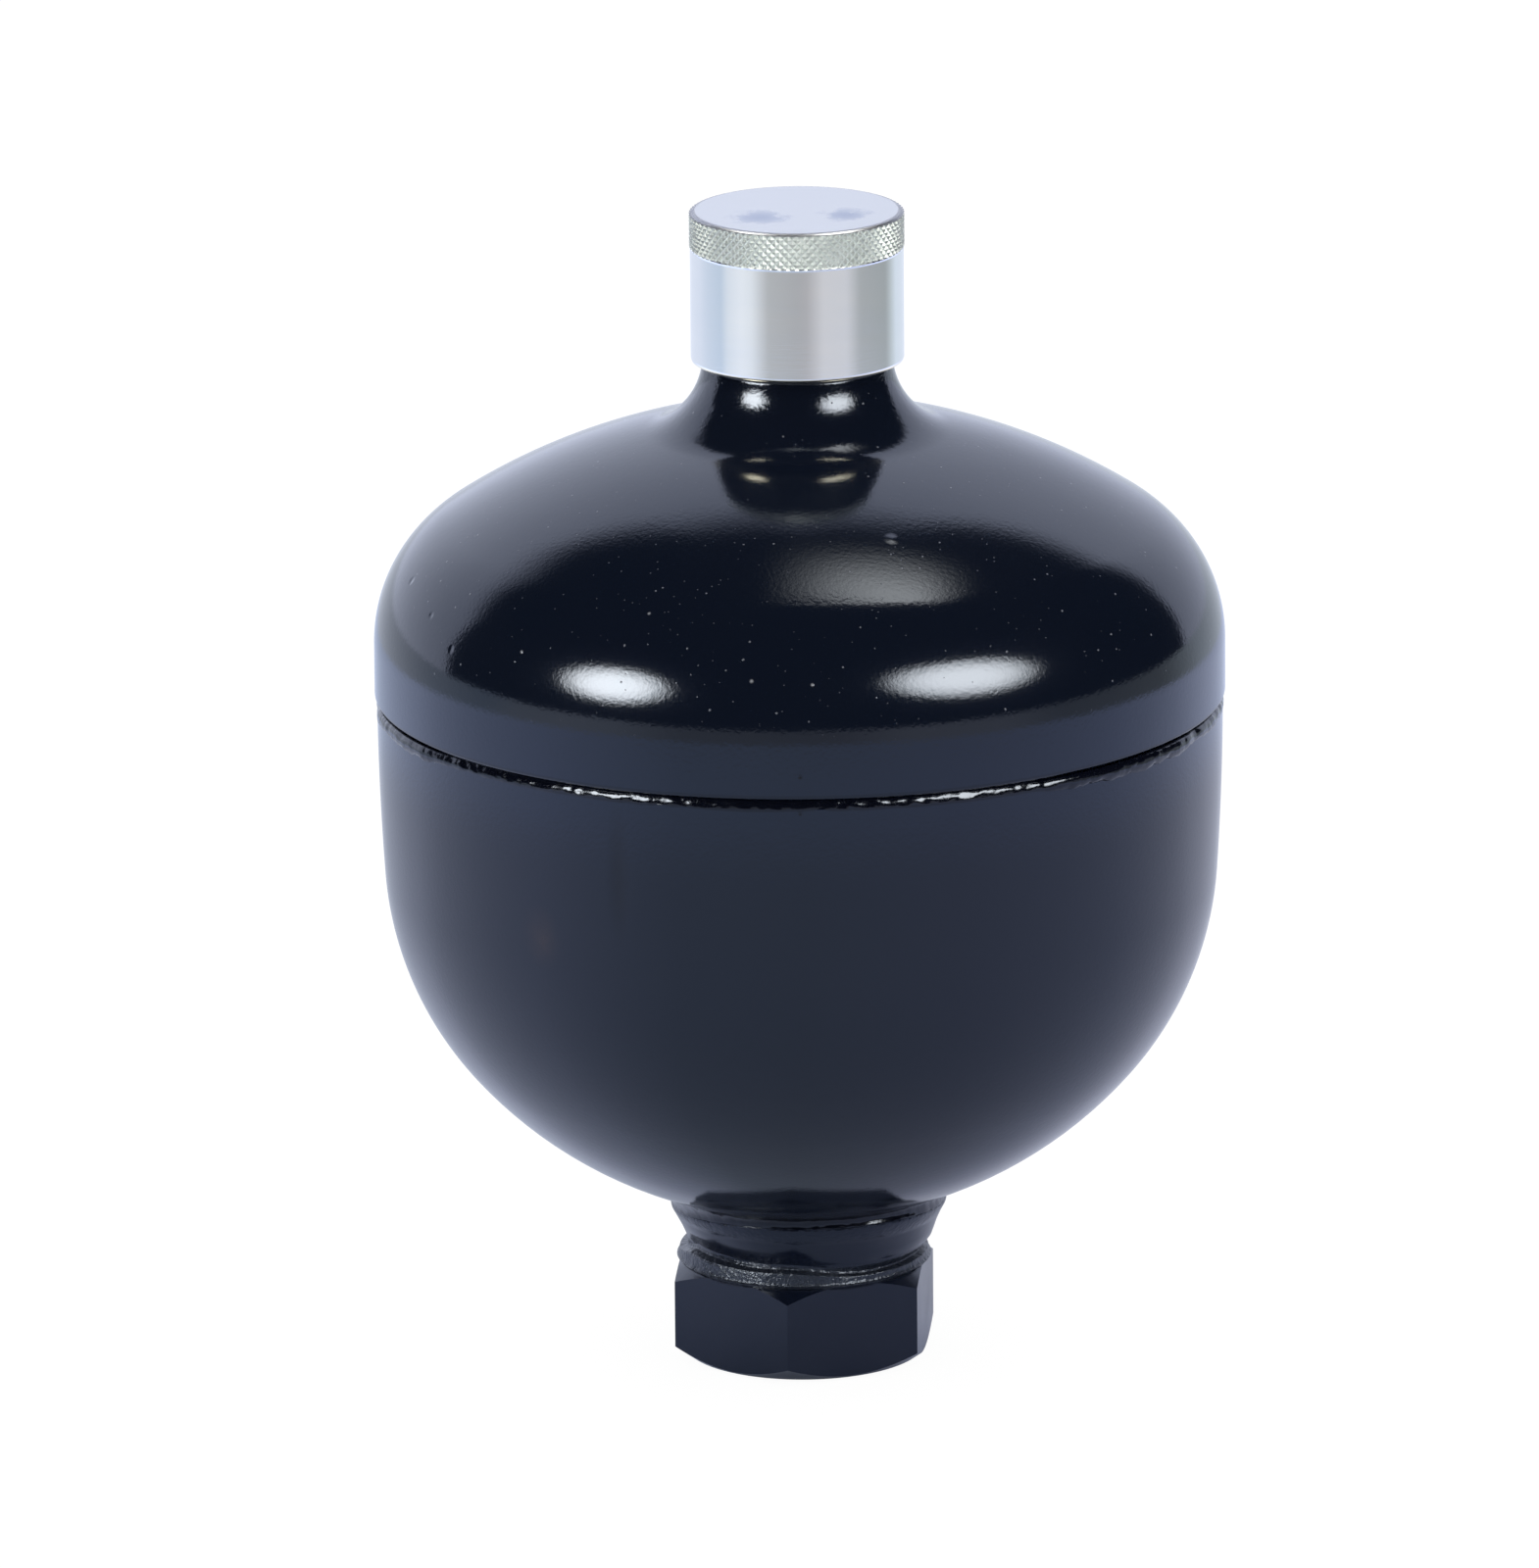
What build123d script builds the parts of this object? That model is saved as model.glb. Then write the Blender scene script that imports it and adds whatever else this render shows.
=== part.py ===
from build123d import *
from math import asin, atan2, cos, degrees, pi, radians, sin, sqrt, tan
import os

os.makedirs("parts", exist_ok=True)

# Welded diaphragm accumulator, in millimetres. It stands on its hexagonal fluid port:
# the port's sealing face is Z = 0 and every height is built up from there.

# Fluid port: hexagon with a G 1/2 female thread, groove, collar and flared weld flange
across_flats = 41.0
hex_height = 16.5
top_chamfer_setback = 0.3
top_chamfer_angle = 30.0
face_chamfer_setback = 0.5
face_chamfer_angle = 36.0
collar_swell = 0.45
collar_height = 2.3
groove_depth = 1.25
groove_height = 0.9
flange_root_step = 0.4
flange_flare = 3.25
flange_height = 7.8
rim_land = 0.5
port_thread_radius = 10.48
port_thread_length = 15.0
port_mouth_chamfer = 1.0
port_relief = 1.5
drill_point_angle = 118.0
passage_radius = 4.5
spigot_radius = 12.0
seat_rise = 0.5
seat_land = 1.2

# Upper shell: a short straight side, knuckle, crown and a forged neck, whose root fillet
# is cut off by the neck's face a little below the fillet's centre
body_radius = 71.0
dome_straight = 8.8
dome_knuckle = 25.4
dome_crown = 108.3
neck_radius = 15.8
neck_root_fillet = 13.5
neck_cut = 1.32
gas_passage_radius = 3.5

# Lower shell, a deep bowl: three arcs that run into each other, side, knuckle and crown
seam_step = 0.4
wall = 6.5
side_radius = 480.0
side_height = 30.6
bowl_knuckle = 56.1
bowl_crown_excess = 3.4

# Welds
port_weld_gap = 1.6
port_weld_setback = 0.3
girth_weld_height = 1.4
girth_weld_root = 4.0
girth_weld_setback = 0.9

# Diaphragm, its bead in the shell's groove, and the ring that holds the bead
bead_groove_depth = 2.0
bead_height = 6.0
bead_drop = 7.0
bead_rounding = 0.8
membrane = 2.5
membrane_room = 0.7
lip_thickness = 2.2
lip_length = 3.0
lip_rounding = 0.9
ring_rise = 6.0
pad_wall = 3.0
pad_cover = 2.0

# Shut-off button in the middle of the diaphragm
button_overhang = 2.0
button_thickness = 4.0
button_edge = 0.8
boss_radius = 6.0
boss_height = 2.0

# Threaded stub for the cap and the filling unit, M28 x 1.5, drawn at its root
stub_radius = 13.08
thread_depth = 0.92
stub_height = 16.0
stub_chamfer = 0.8
runout_depth = 0.5
runout_height = 2.0

# Charging screw in the stub, M16 x 1.5 with a 6 mm hexagon socket, and its seal
screw_radius = 7.95
screw_length = 10.5
screw_recess = 1.8
screw_chamfer = 0.8
socket_across_flats = 6.0
socket_depth = 6.0
nose_radius = 4.0
nose_length = 1.5
nose_fit = 0.4
seal_thickness = 2.0

# Protective cap and its gasket
cap_wall = 3.75
cap_roof = 4.0
cap_chamfer = 0.5
cap_mouth_chamfer = 0.8
knurl_height = 5.6
knurl_depth = 0.25
gasket_ledge = 3.05
hollow_height = 3.7
gasket_room = 1.5
gasket_thickness = 2.0

# Clearances
seat_gap = 0.3
running_gap = 0.05
press_gap = 0.05

# Places that follow from the sizes above, from the port up
hex_corner_radius = across_flats / 2 / cos(radians(30))
top_chamfer_radius = across_flats / 2 - top_chamfer_setback
face_radius = across_flats / 2 - face_chamfer_setback
collar_radius = across_flats / 2 + collar_swell
groove_radius = collar_radius - groove_depth
flange_root_radius = groove_radius + flange_root_step
flange_rim_radius = collar_radius + flange_flare
collar_top_z = hex_height + collar_height
flange_root_z = collar_top_z + groove_height
flange_rim_z = flange_root_z + flange_height

bowl_radius = body_radius - seam_step
bowl_crown = bowl_radius + bowl_crown_excess
bowl_centre_z = flange_rim_z + sqrt((bowl_crown + port_weld_gap) ** 2 - flange_rim_radius ** 2)
side_turn = degrees(asin(side_height / side_radius))
side_centre_r = bowl_radius - side_radius
knuckle_r = side_centre_r + (side_radius - bowl_knuckle) * cos(radians(side_turn))
knuckle_z = bowl_centre_z - sqrt((bowl_crown - bowl_knuckle) ** 2 - knuckle_r ** 2)
seam_z = knuckle_z + (side_radius - bowl_knuckle) * sin(radians(side_turn))
crown_start = degrees(atan2(knuckle_z - bowl_centre_z, knuckle_r))

bore_radius = bowl_radius - wall
dome_wall = body_radius - bore_radius
dome_knuckle_r = body_radius - dome_knuckle
dome_knuckle_z = seam_z + dome_straight
dome_centre_z = dome_knuckle_z - sqrt((dome_crown - dome_knuckle) ** 2 - dome_knuckle_r ** 2)
dome_crown_start = degrees(atan2(dome_knuckle_z - dome_centre_z, dome_knuckle_r))
fillet_centre_r = neck_radius + neck_root_fillet
fillet_centre_z = dome_centre_z + sqrt((dome_crown + neck_root_fillet) ** 2 - fillet_centre_r ** 2)
fillet_turn = degrees(atan2(fillet_centre_z - dome_centre_z, fillet_centre_r))
fillet_start = degrees(asin(neck_cut / neck_root_fillet))
neck_top_z = fillet_centre_z - neck_cut
stub_top_z = neck_top_z + stub_height

bead_top_z = seam_z - bead_drop
bead_bottom_z = bead_top_z - bead_height
groove_wall_radius = bore_radius + bead_groove_depth
lip_radius = bore_radius - seat_gap - membrane - membrane_room


def inner_bowl_z(radius):
    """Height of the bowl's inside surface at a radius near the axis."""
    return bowl_centre_z - sqrt((bowl_crown - wall) ** 2 - radius ** 2)


button_radius = spigot_radius + button_overhang
pad_radius = button_radius + pad_wall
seat_z = inner_bowl_z(button_radius) + seat_rise
button_top_z = seat_z + button_thickness
boss_top_z = button_top_z + boss_height

screw_bore_radius = screw_radius + running_gap
seal_inner_radius = nose_radius + nose_fit
screw_top_z = stub_top_z - screw_recess
screw_foot_z = screw_top_z - screw_length
seal_foot_z = screw_foot_z - seal_thickness

cap_thread_radius = stub_radius + thread_depth + running_gap
cap_radius = cap_thread_radius + cap_wall
hollow_radius = cap_thread_radius - gasket_ledge
gasket_inner_radius = screw_bore_radius + gasket_room
cap_foot_z = neck_top_z + seat_gap
gasket_top_z = stub_top_z + gasket_thickness
hollow_top_z = gasket_top_z + hollow_height
cap_top_z = hollow_top_z + cap_roof
knurl_top_z = cap_top_z - cap_chamfer


def dome_outline(inset):
    """Half section of the dome, set inwards from its outside, from the seam to the pole."""
    crown = dome_crown - inset
    knuckle = dome_knuckle - inset
    Line((0, seam_z), (body_radius - inset, seam_z))
    Line((body_radius - inset, seam_z), (body_radius - inset, dome_knuckle_z))
    CenterArc((dome_knuckle_r, dome_knuckle_z), knuckle, 0, dome_crown_start)
    CenterArc((0, dome_centre_z), crown, dome_crown_start, 90 - dome_crown_start)
    Line((0, dome_centre_z + crown), (0, seam_z))


def bowl_outline(inset, top_z):
    """Half section of the bowl, set inwards from its outside, from a height down to the pole."""
    side = side_radius - inset
    crown = bowl_crown - inset
    start = -degrees(asin((seam_z - top_z) / side))
    start_r = side_centre_r + side * cos(radians(start))
    Line((0, top_z), (start_r, top_z))
    CenterArc((side_centre_r, seam_z), side, start, -side_turn - start)
    CenterArc((knuckle_r, knuckle_z), bowl_knuckle - inset, -side_turn, crown_start + side_turn)
    CenterArc((0, bowl_centre_z), crown, crown_start, -90 - crown_start)
    Line((0, bowl_centre_z - crown), (0, top_z))


# Fluid port, turned from hexagon bar
face_chamfer_height = (hex_corner_radius - face_radius) * tan(radians(face_chamfer_angle))
top_chamfer_height = (hex_corner_radius - top_chamfer_radius) * tan(radians(top_chamfer_angle))
mouth_radius = port_thread_radius + port_mouth_chamfer
thread_end_z = port_mouth_chamfer + port_thread_length + port_relief
drill_cone = (port_thread_radius - passage_radius) / tan(radians(drill_point_angle / 2))
weld_face_radius = bowl_crown + port_weld_gap
flange_face_start = degrees(atan2(flange_rim_z - bowl_centre_z, flange_rim_radius))
spigot_wall_z = bowl_centre_z - sqrt(weld_face_radius ** 2 - spigot_radius ** 2)
spigot_face_end = degrees(atan2(spigot_wall_z - bowl_centre_z, spigot_radius))

with BuildPart() as fluid_port:
    with BuildSketch(Plane.XY):
        RegularPolygon(across_flats / 2, 6, major_radius=False, rotation=30)
    extrude(amount=hex_height)
    with BuildSketch(Plane.XZ):
        Polygon(
            (0, 0),
            (face_radius, 0),
            (hex_corner_radius, face_chamfer_height),
            (hex_corner_radius, hex_height - top_chamfer_height),
            (top_chamfer_radius, hex_height),
            (0, hex_height),
            align=None,
        )
    revolve(axis=Axis.Z, mode=Mode.INTERSECT)
    with BuildSketch(Plane.XZ):
        with BuildLine():
            Line((0, hex_height), (collar_radius, hex_height))
            RadiusArc((collar_radius, hex_height), (groove_radius, collar_top_z), -collar_height)
            Line((groove_radius, collar_top_z), (flange_root_radius, flange_root_z))
            Line((flange_root_radius, flange_root_z), (flange_rim_radius, flange_rim_z - rim_land))
            Line((flange_rim_radius, flange_rim_z - rim_land), (flange_rim_radius, flange_rim_z))
            CenterArc((0, bowl_centre_z), weld_face_radius, flange_face_start,
                      spigot_face_end - flange_face_start)
            Line((spigot_radius, spigot_wall_z), (spigot_radius, seat_z - seat_land))
            Line((spigot_radius, seat_z - seat_land), (spigot_radius - seat_land, seat_z))
            Line((spigot_radius - seat_land, seat_z), (0, seat_z))
            Line((0, seat_z), (0, hex_height))
        make_face()
    revolve(axis=Axis.Z)
    with BuildSketch(Plane.XZ):
        Polygon(
            (0, 0),
            (mouth_radius, 0),
            (port_thread_radius, port_mouth_chamfer),
            (port_thread_radius, thread_end_z),
            (passage_radius, thread_end_z + drill_cone),
            (passage_radius, seat_z),
            (0, seat_z),
            align=None,
        )
    revolve(axis=Axis.Z, mode=Mode.SUBTRACT)
fluid_port.part.label = "fluid_port"
export_step(fluid_port.part, "parts/fluid_port.step")

# Weld between the port's flange and the bowl, a thin dished ring
port_weld_radius = flange_rim_radius - port_weld_setback
port_weld_bore = spigot_radius + seat_gap
flange_angle = degrees(asin(port_weld_radius / weld_face_radius))
bowl_angle = degrees(asin(port_weld_radius / bowl_crown))
flange_bore_angle = degrees(asin(port_weld_bore / weld_face_radius))
bowl_bore_angle = degrees(asin(port_weld_bore / bowl_crown))

with BuildPart() as port_weld:
    with BuildSketch(Plane.XZ):
        with BuildLine():
            under = CenterArc((0, bowl_centre_z), weld_face_radius, flange_bore_angle - 90,
                              flange_angle - flange_bore_angle)
            over = CenterArc((0, bowl_centre_z), bowl_crown, bowl_bore_angle - 90,
                             bowl_angle - bowl_bore_angle)
            Line(under @ 1, over @ 1)
            Line(under @ 0, over @ 0)
        make_face()
    revolve(axis=Axis.Z)
port_weld.part.label = "port_weld"
export_step(port_weld.part, "parts/port_weld.step")

# Lower shell: the bowl, its hole for the port's spigot, bead groove and rebated rim
weld_foot_z = seam_z - girth_weld_height
weld_root_radius = bowl_radius - girth_weld_root

with BuildPart() as lower_shell:
    with BuildSketch(Plane.XZ):
        with BuildLine():
            bowl_outline(0, seam_z)
        make_face()
    revolve(axis=Axis.Z)
    with BuildSketch(Plane.XZ):
        with BuildLine():
            bowl_outline(wall, seam_z)
        make_face()
    revolve(axis=Axis.Z, mode=Mode.SUBTRACT)
    with BuildSketch(Plane.XY):
        Circle(spigot_radius + running_gap)
    extrude(amount=seat_z, mode=Mode.SUBTRACT)
    with BuildSketch(Plane.XY.offset(bead_bottom_z)):
        Circle(groove_wall_radius)
    extrude(amount=bead_height, mode=Mode.SUBTRACT)
    with BuildSketch(Plane.XY.offset(weld_foot_z)):
        Circle(body_radius)
        Circle(weld_root_radius, mode=Mode.SUBTRACT)
    extrude(amount=girth_weld_height, mode=Mode.SUBTRACT)
lower_shell.part.label = "lower_shell"
export_step(lower_shell.part, "parts/lower_shell.step")

# Girth weld, sunk a little below the two shells
with BuildPart() as girth_weld:
    with BuildSketch(Plane.XY.offset(weld_foot_z)):
        Circle(bowl_radius - girth_weld_setback)
        Circle(weld_root_radius, mode=Mode.SUBTRACT)
    extrude(amount=girth_weld_height)
girth_weld.part.label = "girth_weld"
export_step(girth_weld.part, "parts/girth_weld.step")

# Upper shell: the dome with its neck, threaded stub, screw bore and gas passage
with BuildPart() as upper_shell:
    with BuildSketch(Plane.XZ):
        with BuildLine():
            dome_outline(0)
        make_face()
    revolve(axis=Axis.Z)
    with BuildSketch(Plane.XZ):
        with BuildLine():
            root = CenterArc((fillet_centre_r, fillet_centre_z), neck_root_fillet,
                             180 + fillet_start, fillet_turn - fillet_start)
            Line(root @ 0, (0, neck_top_z))
            Line((0, neck_top_z), (0, dome_knuckle_z))
            Line((0, dome_knuckle_z), root @ 1)
        make_face()
    revolve(axis=Axis.Z)
    with BuildSketch(Plane.XZ):
        Polygon(
            (0, neck_top_z),
            (stub_radius - runout_depth, neck_top_z),
            (stub_radius - runout_depth, neck_top_z + runout_height - runout_depth),
            (stub_radius, neck_top_z + runout_height),
            (stub_radius, stub_top_z - stub_chamfer),
            (stub_radius - stub_chamfer, stub_top_z),
            (0, stub_top_z),
            align=None,
        )
    revolve(axis=Axis.Z)
    with BuildSketch(Plane.XZ):
        with BuildLine():
            dome_outline(dome_wall)
        make_face()
    revolve(axis=Axis.Z, mode=Mode.SUBTRACT)
    with BuildSketch(Plane.XY.offset(dome_knuckle_z)):
        Circle(gas_passage_radius)
    extrude(amount=seal_foot_z - dome_knuckle_z, mode=Mode.SUBTRACT)
    with BuildSketch(Plane.XZ):
        Polygon(
            (0, seal_foot_z),
            (screw_bore_radius, seal_foot_z),
            (screw_bore_radius, stub_top_z - stub_chamfer),
            (screw_bore_radius + stub_chamfer, stub_top_z),
            (0, stub_top_z),
            align=None,
        )
    revolve(axis=Axis.Z, mode=Mode.SUBTRACT)
upper_shell.part.label = "upper_shell"
export_step(upper_shell.part, "parts/upper_shell.step")

# Clamp ring: backs the girth weld, and its lip holds the bead in the groove
ring_radius = side_centre_r + sqrt((side_radius - wall) ** 2 - bead_drop ** 2) - press_gap
lip_inner_radius = lip_radius - lip_thickness

with BuildPart() as clamp_ring:
    with BuildSketch(Plane.XZ):
        Polygon(
            (lip_inner_radius, bead_bottom_z - lip_length),
            (lip_radius, bead_bottom_z - lip_length),
            (lip_radius, bead_top_z),
            (ring_radius, bead_top_z),
            (ring_radius, seam_z + ring_rise),
            (lip_inner_radius, seam_z + ring_rise),
            align=None,
        )
    revolve(axis=Axis.Z)
    lip_edges = clamp_ring.edges().filter_by(GeomType.CIRCLE).group_by(Axis.Z)[0]
    fillet(lip_edges, lip_rounding)
    rim_edges = clamp_ring.edges().filter_by(GeomType.CIRCLE).group_by(Axis.Z)[-1]
    chamfer(rim_edges, lip_rounding)
clamp_ring.part.label = "clamp_ring"
export_step(clamp_ring.part, "parts/clamp_ring.step")

# Diaphragm as it lies when the accumulator is empty of fluid: a rubber cup that follows
# the bowl, with its bead at the rim and a thick pad round the button
membrane_inset = wall + seat_gap
bead_outer_radius = groove_wall_radius - seat_gap
bead_inner_radius = lip_radius + seat_gap
pad_foot_z = inner_bowl_z(pad_radius) + seat_gap + membrane / 2
pad_top_z = boss_top_z + pad_cover
bead_middle_z = (bead_bottom_z + bead_top_z) / 2

with BuildPart() as diaphragm:
    with BuildSketch(Plane.XZ):
        with BuildLine():
            bowl_outline(membrane_inset, bead_middle_z)
        make_face()
    revolve(axis=Axis.Z)
    with BuildSketch(Plane.XZ):
        with BuildLine():
            bowl_outline(membrane_inset + membrane, bead_middle_z)
        make_face()
    revolve(axis=Axis.Z, mode=Mode.SUBTRACT)
    with BuildSketch(Plane.XZ):
        Polygon(
            (bead_inner_radius, bead_bottom_z + seat_gap),
            (bead_outer_radius, bead_bottom_z + seat_gap),
            (bead_outer_radius, bead_top_z - seat_gap),
            (bead_inner_radius, bead_top_z - seat_gap),
            align=None,
        )
        fillet(vertices(), bead_rounding)
    revolve(axis=Axis.Z)
    with BuildSketch(Plane.XY.offset(pad_foot_z)):
        Circle(pad_radius)
    extrude(amount=pad_top_z - pad_foot_z)
    pad_edge = diaphragm.edges().filter_by(GeomType.CIRCLE).filter_by_position(
        Axis.Z, pad_top_z - running_gap, pad_top_z + running_gap)
    fillet(pad_edge, pad_cover / 2)
    with BuildSketch(Plane.XZ):
        Polygon(
            (0, 0),
            (button_radius + seat_gap, 0),
            (button_radius + seat_gap, button_top_z),
            (boss_radius + seat_gap, button_top_z),
            (boss_radius + seat_gap, boss_top_z),
            (0, boss_top_z),
            align=None,
        )
    revolve(axis=Axis.Z, mode=Mode.SUBTRACT)
diaphragm.part.label = "diaphragm"
export_step(diaphragm.part, "parts/diaphragm.step")

# Shut-off button, resting on the port's seat
with BuildPart() as valve_button:
    with BuildSketch(Plane.XY.offset(seat_z)):
        Circle(button_radius)
    extrude(amount=button_thickness)
    fillet(valve_button.edges().filter_by(GeomType.CIRCLE), button_edge)
    with BuildSketch(Plane.XY.offset(button_top_z)):
        Circle(boss_radius)
    extrude(amount=boss_height)
valve_button.part.label = "valve_button"
export_step(valve_button.part, "parts/valve_button.step")

# Seal under the charging screw
with BuildPart() as screw_seal:
    with BuildSketch(Plane.XY.offset(seal_foot_z)):
        Circle(screw_bore_radius - seat_gap)
        Circle(seal_inner_radius, mode=Mode.SUBTRACT)
    extrude(amount=seal_thickness)
screw_seal.part.label = "screw_seal"
export_step(screw_seal.part, "parts/screw_seal.step")

# Charging screw, with a nose through the seal and a hexagon socket in its head
with BuildPart() as charging_screw:
    with BuildSketch(Plane.XY.offset(screw_foot_z)):
        Circle(screw_radius)
    extrude(amount=screw_length)
    chamfer(charging_screw.edges().filter_by(GeomType.CIRCLE), screw_chamfer)
    with BuildSketch(Plane.XY.offset(screw_foot_z - nose_length)):
        Circle(nose_radius)
    extrude(amount=nose_length)
    with BuildSketch(Plane.XY.offset(screw_top_z - socket_depth)):
        RegularPolygon(socket_across_flats / 2, 6, major_radius=False)
    extrude(amount=socket_depth, mode=Mode.SUBTRACT)
charging_screw.part.label = "charging_screw"
export_step(charging_screw.part, "parts/charging_screw.step")

# Gasket that seals the cap on the stub's end
with BuildPart() as cap_gasket:
    with BuildSketch(Plane.XY.offset(stub_top_z)):
        Circle(cap_thread_radius - seat_gap)
        Circle(gasket_inner_radius, mode=Mode.SUBTRACT)
    extrude(amount=gasket_thickness)
cap_gasket.part.label = "cap_gasket"
export_step(cap_gasket.part, "parts/cap_gasket.step")

# Protective cap: knurled at its top, the knurl drawn at its root, and bored from below
with BuildPart() as protective_cap:
    with BuildSketch(Plane.XZ):
        Polygon(
            (0, cap_foot_z),
            (cap_radius - cap_chamfer, cap_foot_z),
            (cap_radius, cap_foot_z + cap_chamfer),
            (cap_radius, knurl_top_z - knurl_height),
            (cap_radius - knurl_depth, knurl_top_z - knurl_height + knurl_depth),
            (cap_radius - knurl_depth, knurl_top_z),
            (cap_radius - knurl_depth - cap_chamfer, cap_top_z),
            (0, cap_top_z),
            align=None,
        )
    revolve(axis=Axis.Z)
    with BuildSketch(Plane.XZ):
        Polygon(
            (0, cap_foot_z),
            (cap_thread_radius + cap_mouth_chamfer, cap_foot_z),
            (cap_thread_radius, cap_foot_z + cap_mouth_chamfer),
            (cap_thread_radius, gasket_top_z),
            (hollow_radius, gasket_top_z),
            (hollow_radius, hollow_top_z),
            (0, hollow_top_z),
            align=None,
        )
    revolve(axis=Axis.Z, mode=Mode.SUBTRACT)
protective_cap.part.label = "protective_cap"
export_step(protective_cap.part, "parts/protective_cap.step")

# Sizes that a user of the part would ask for
inside_z = (inner_bowl_z(0), dome_centre_z + dome_crown - dome_wall)
print("height", round(cap_top_z, 2), "seam at", round(seam_z, 2), "neck top at", round(neck_top_z, 2))
print("stub top at", round(stub_top_z, 2), "seat at", round(seat_z, 2), "inside from to", inside_z)
print("rough volume inside, litres", round(2 / 3 * pi * bore_radius ** 2 * (inside_z[1] - inside_z[0]) / 1e6, 2))
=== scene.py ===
from math import acos, asin, atan2, cos, degrees, pi, radians, sin, sqrt

import bpy
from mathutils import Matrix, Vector


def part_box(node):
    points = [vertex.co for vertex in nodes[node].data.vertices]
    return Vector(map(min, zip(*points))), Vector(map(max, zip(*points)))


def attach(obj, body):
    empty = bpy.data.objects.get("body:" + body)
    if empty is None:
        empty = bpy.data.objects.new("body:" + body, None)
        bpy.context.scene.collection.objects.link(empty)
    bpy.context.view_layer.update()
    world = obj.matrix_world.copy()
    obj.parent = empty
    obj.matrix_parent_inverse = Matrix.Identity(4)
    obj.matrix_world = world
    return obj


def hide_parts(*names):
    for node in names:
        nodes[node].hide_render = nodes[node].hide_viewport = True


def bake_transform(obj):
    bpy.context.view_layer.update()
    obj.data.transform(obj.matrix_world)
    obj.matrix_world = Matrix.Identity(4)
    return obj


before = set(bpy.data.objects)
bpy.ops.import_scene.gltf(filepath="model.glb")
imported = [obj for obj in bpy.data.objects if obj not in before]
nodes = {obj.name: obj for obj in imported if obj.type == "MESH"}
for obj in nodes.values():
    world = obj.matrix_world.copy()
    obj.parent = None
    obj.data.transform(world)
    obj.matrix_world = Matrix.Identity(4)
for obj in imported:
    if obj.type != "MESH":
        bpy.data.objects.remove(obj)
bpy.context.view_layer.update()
mm = 0.001


def footOf(node):
    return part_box(node)[0][2] / mm


def topOf(node):
    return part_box(node)[1][2] / mm


seam = topOf("girth_weld")


# helpers for the edit mode operators

def letGo():
    # back to object mode with nothing selected
    if bpy.context.object is not None and bpy.context.object.mode == "EDIT":
        bpy.ops.object.mode_set(mode="OBJECT")
    bpy.ops.object.select_all(action="DESELECT")


def pick(*pieces):
    letGo()
    for piece in pieces:
        piece.select_set(True)
    bpy.context.view_layer.objects.active = pieces[0]


def arc(centre, radius, start, turn, count):
    # points of an arc in the half section, mm and degrees
    angles = [radians(start + turn * i / count) for i in range(count + 1)]
    return [(centre[0] + radius * cos(a), centre[1] + radius * sin(a)) for a in angles]


def pullOutline(name, outline):
    # one point, pulled along a half section given as radius and height in mm
    letGo()
    bpy.ops.mesh.primitive_plane_add(size=mm, location=(outline[0][0] * mm, 0, outline[0][1] * mm))
    piece = bpy.context.object
    piece.name = piece.data.name = name
    bpy.ops.object.mode_set(mode="EDIT")
    bpy.ops.mesh.merge(type="CENTER")
    for last, point in zip(outline, outline[1:]):
        step = ((point[0] - last[0]) * mm, 0, (point[1] - last[1]) * mm)
        if abs(step[0]) + abs(step[2]) > 1e-8:
            bpy.ops.mesh.extrude_vertices_move(TRANSFORM_OT_translate={"value": step})
    return piece


def settle(piece, smoothAngle=30):
    # origin to the world's, and smooth shading up to an angle
    pick(piece)
    bpy.ops.object.transform_apply(location=True, rotation=True, scale=True)
    bpy.ops.object.shade_smooth_by_angle(angle=radians(smoothAngle))
    return piece


def closeUp():
    # edit mode: seams and poles closed, faces outwards
    bpy.ops.mesh.select_all(action="SELECT")
    bpy.ops.mesh.remove_doubles(threshold=1e-6)
    bpy.ops.mesh.normals_make_consistent(inside=False)
    bpy.ops.object.mode_set(mode="OBJECT")


def turnPiece(name, outline, steps=256, smoothAngle=30):
    piece = pullOutline(name, outline)
    bpy.ops.mesh.select_all(action="SELECT")
    bpy.ops.mesh.spin(steps=steps, angle=2 * pi, center=(0, 0, 0), axis=(0, 0, 1))
    closeUp()
    return settle(piece, smoothAngle)


def threadRidge(name, outline, pitch, turns, steps=72):
    # a ridge wound up the axis, its section given at its lowest end
    piece = pullOutline(name, outline + outline[:1])
    bpy.ops.mesh.select_all(action="SELECT")
    bpy.ops.mesh.remove_doubles(threshold=1e-6)
    letGo()
    pick(piece)
    bpy.ops.object.transform_apply(location=True, rotation=True, scale=True)
    winding = piece.modifiers.new("winding", "SCREW")
    winding.screw_offset = pitch * mm
    winding.iterations = turns
    winding.steps = winding.render_steps = steps
    bpy.ops.object.modifier_apply(modifier="winding")
    bpy.ops.object.mode_set(mode="EDIT")
    bpy.ops.mesh.select_all(action="SELECT")
    bpy.ops.mesh.fill_holes(sides=8)
    closeUp()
    return settle(piece, 35)


def cutWith(piece, tool, how):
    cut = piece.modifiers.new("cut", "BOOLEAN")
    cut.operation = how
    cut.solver = "EXACT"
    cut.object = tool
    pick(piece)
    bpy.ops.object.modifier_apply(modifier="cut")
    bpy.data.objects.remove(tool)
    return piece


def joinUp(piece, *others):
    pick(piece, *others)
    bpy.ops.object.join()
    return piece


def roundFrom(point):
    # degrees round the axis from the photograph's front, rightwards
    return (degrees(atan2(point.x, -point.y)) - photoCamera["azimuth"] + 180) % 360 - 180


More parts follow.
